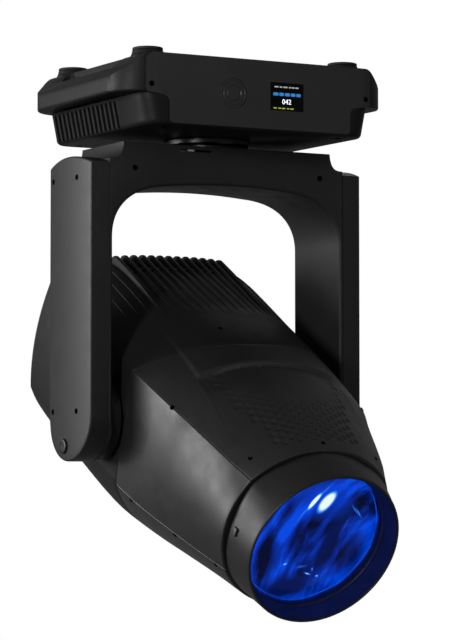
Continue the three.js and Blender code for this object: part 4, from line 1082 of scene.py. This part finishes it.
def arm_cover(side, word):
    """Grid over the side view, from the round lower end up to the domed top, with rolled edges."""
    y = YOKE_HALF_DEPTH * np.cos(np.linspace(0, math.pi, 73))[None, :]
    low = TILT_Z - ARM_END_HEIGHT * np.sin(np.linspace(0, math.pi, 73))[None, :]
    high = ARM_TOP + 11 * (1 - (y / YOKE_HALF_DEPTH) ** 2)
    edge = np.array([0, 0.06, 0.25, 0.6, 1.1, 1.8, 2.6])[:, None]
    middle = low + edge[-1] + (high - low - 2 * edge[-1]) * np.linspace(0, 1, 40)[1:-1, None]
    z = np.concatenate([low + edge, middle, high - edge[::-1]], axis=0)
    y = np.broadcast_to(y, z.shape)
    lower = 62 * (1 - np.hypot(y / YOKE_HALF_DEPTH, np.minimum(z - TILT_Z, 0) / ARM_END_HEIGHT))
    rim = np.minimum(np.minimum(YOKE_HALF_DEPTH - np.abs(y), np.where(z < TILT_Z, lower, 99)), high - z)
    outer = np.stack([crown_x(y) - seam_roll(np.maximum(rim, 0), 2.5), y, z], axis=-1)
    inner = np.stack([np.full_like(z, ARM_SEAM + 0.3), y, z], axis=-1)
    body = skin(outer, inner)
    wall = inset(arm_side(), 3)
    combine(body, [stacked([(wall, 180), (wall, 206), (inset(wall, 4), 208.6)], "X")])
    if side < 0:
        body.data.transform(Matrix.Scale(-1, 4, (1, 0, 0)))
        face_outward(body)
        combine(body, [rod(10.7, -240, -200, "X", LOCK_BUTTON, 48)])
    refine(body, f"arm_cover_{word}", cover_black, "yoke", "black_shell", angle=30)


def yoke_details():
    cover = slab(rounded_rectangle(147.5, 18, 6, 0, -129.5, 6), 60, 63.3, high=1.0, axis="Y")
    refine(cover, "crossbar_rear_cover", shell_black, "yoke", "black_shell")
    button = turned([(0.01, -209.3), (10, -209.3), (10, -216.4), (9.4, -217.6), (8.2, -218), (6.2, -218),
                     (5.8, -217.4), (0.01, -217.2)], 48, "X", LOCK_BUTTON)
    refine(button, "tilt_lock_button", anodised, "tilt_lock_button", "dark_metal")
    places = []
    for side in (-1, 1):
        places.append(((side * 145, -63.4, -140), (0, -1, 0)))
        places += [((side * float(crown_x(y)), y, z), (side, 0, 0)) for y in (-26, 49) for z in (-153, -468)]
        places += [((side * 138, 63.2, z), (0, 1, 0)) for z in (-120, -140)]
    screws("yoke", places, 3.9)


front_cowl()
rear_housing()
rear_cap()
front_ring()
lens_optics()
tilt_hubs()
head_screws()
base_casting()
front_panel()
display()
base_housing()
bearing_ring()
base_screws()
yoke_frame()
for sign, name in SIDES:
    arm_cover(sign, name)
yoke_details()


# ---------- floor, light and camera ----------
def stage_floor():
    half_size, top, thickness = 9000, -1400, 20
    floor = slab(rounded_rectangle(half_size, half_size, 10, 0, 0, 2), top - thickness, top)
    floor.data.transform(Matrix.Scale(MM, 4))
    floor.name = "floor"
    material, tree, shader = new_material("floor_white")
    tone = noise(tree, coordinates(tree), 0.5, 2)
    connect(tree, shader, {"Base Color": tones(tree, tone, (0.9, 0.9, 0.9), (0.94, 0.94, 0.94)),
                           "Roughness": 0.9, "Emission Color": (1, 1, 1, 1), "Emission Strength": 1.0})
    floor.data.materials.append(material)
    floor.visible_glossy = floor.visible_diffuse = floor.visible_transmission = False


def aim(obj, place, target):
    obj.location = place
    obj.rotation_euler = (Vector(target) - Vector(place)).to_track_quat("-Z", "Y").to_euler()


def softbox(name, place, target, width, height, power):
    data = bpy.data.lights.new(name, "AREA")
    data.shape = "RECTANGLE"
    data.size, data.size_y, data.energy = width, height, power
    aim(linked(name, data), place, target)


def world_light():
    """Dim even light on the object, in front of a white background."""
    world = bpy.data.worlds.new("studio")
    scene.world = world
    world.use_nodes = True
    tree = world.node_tree
    tree.nodes.clear()
    ambient, backdrop = (add_node(tree, "Background", "Background", {"Color": (1, 1, 1, 1), "Strength": strength})
                         for strength in (0.18, 1.0))
    seen = add_node(tree, "LightPath", "Is Camera Ray", {})
    mix = add_node(tree, "MixShader", "Shader", {"Fac": seen, 1: ambient, 2: backdrop})
    connect(tree, tree.nodes.new("ShaderNodeOutputWorld"), {"Surface": mix})


def camera():
    data = bpy.data.cameras.new("camera")
    data.lens = 155.55
    data.sensor_width = 36
    scene.camera = linked("camera", data)
    aim(scene.camera, (-1.8442, -3.3634, -0.5407), (0.0227, -0.01265, -0.339))


scene.view_settings.view_transform = "Standard"
stage_floor()
world_light()
softbox("key_left", (-4.9, 2.9, 0.5), (0, 0, -0.35), 3.4, 2.0, 265)
softbox("corner_left", (-3.5, -2.0, 0.3), (0, 0, -0.1), 0.5, 0.8, 85)
softbox("rear_right", (2.2, 3.6, 2.0), (0, 0, -0.4), 1.4, 1.0, 3)
softbox("front_soft", (1.2, -4.6, 1.6), (0, 0, -0.4), 2.4, 1.6, 14)
camera()
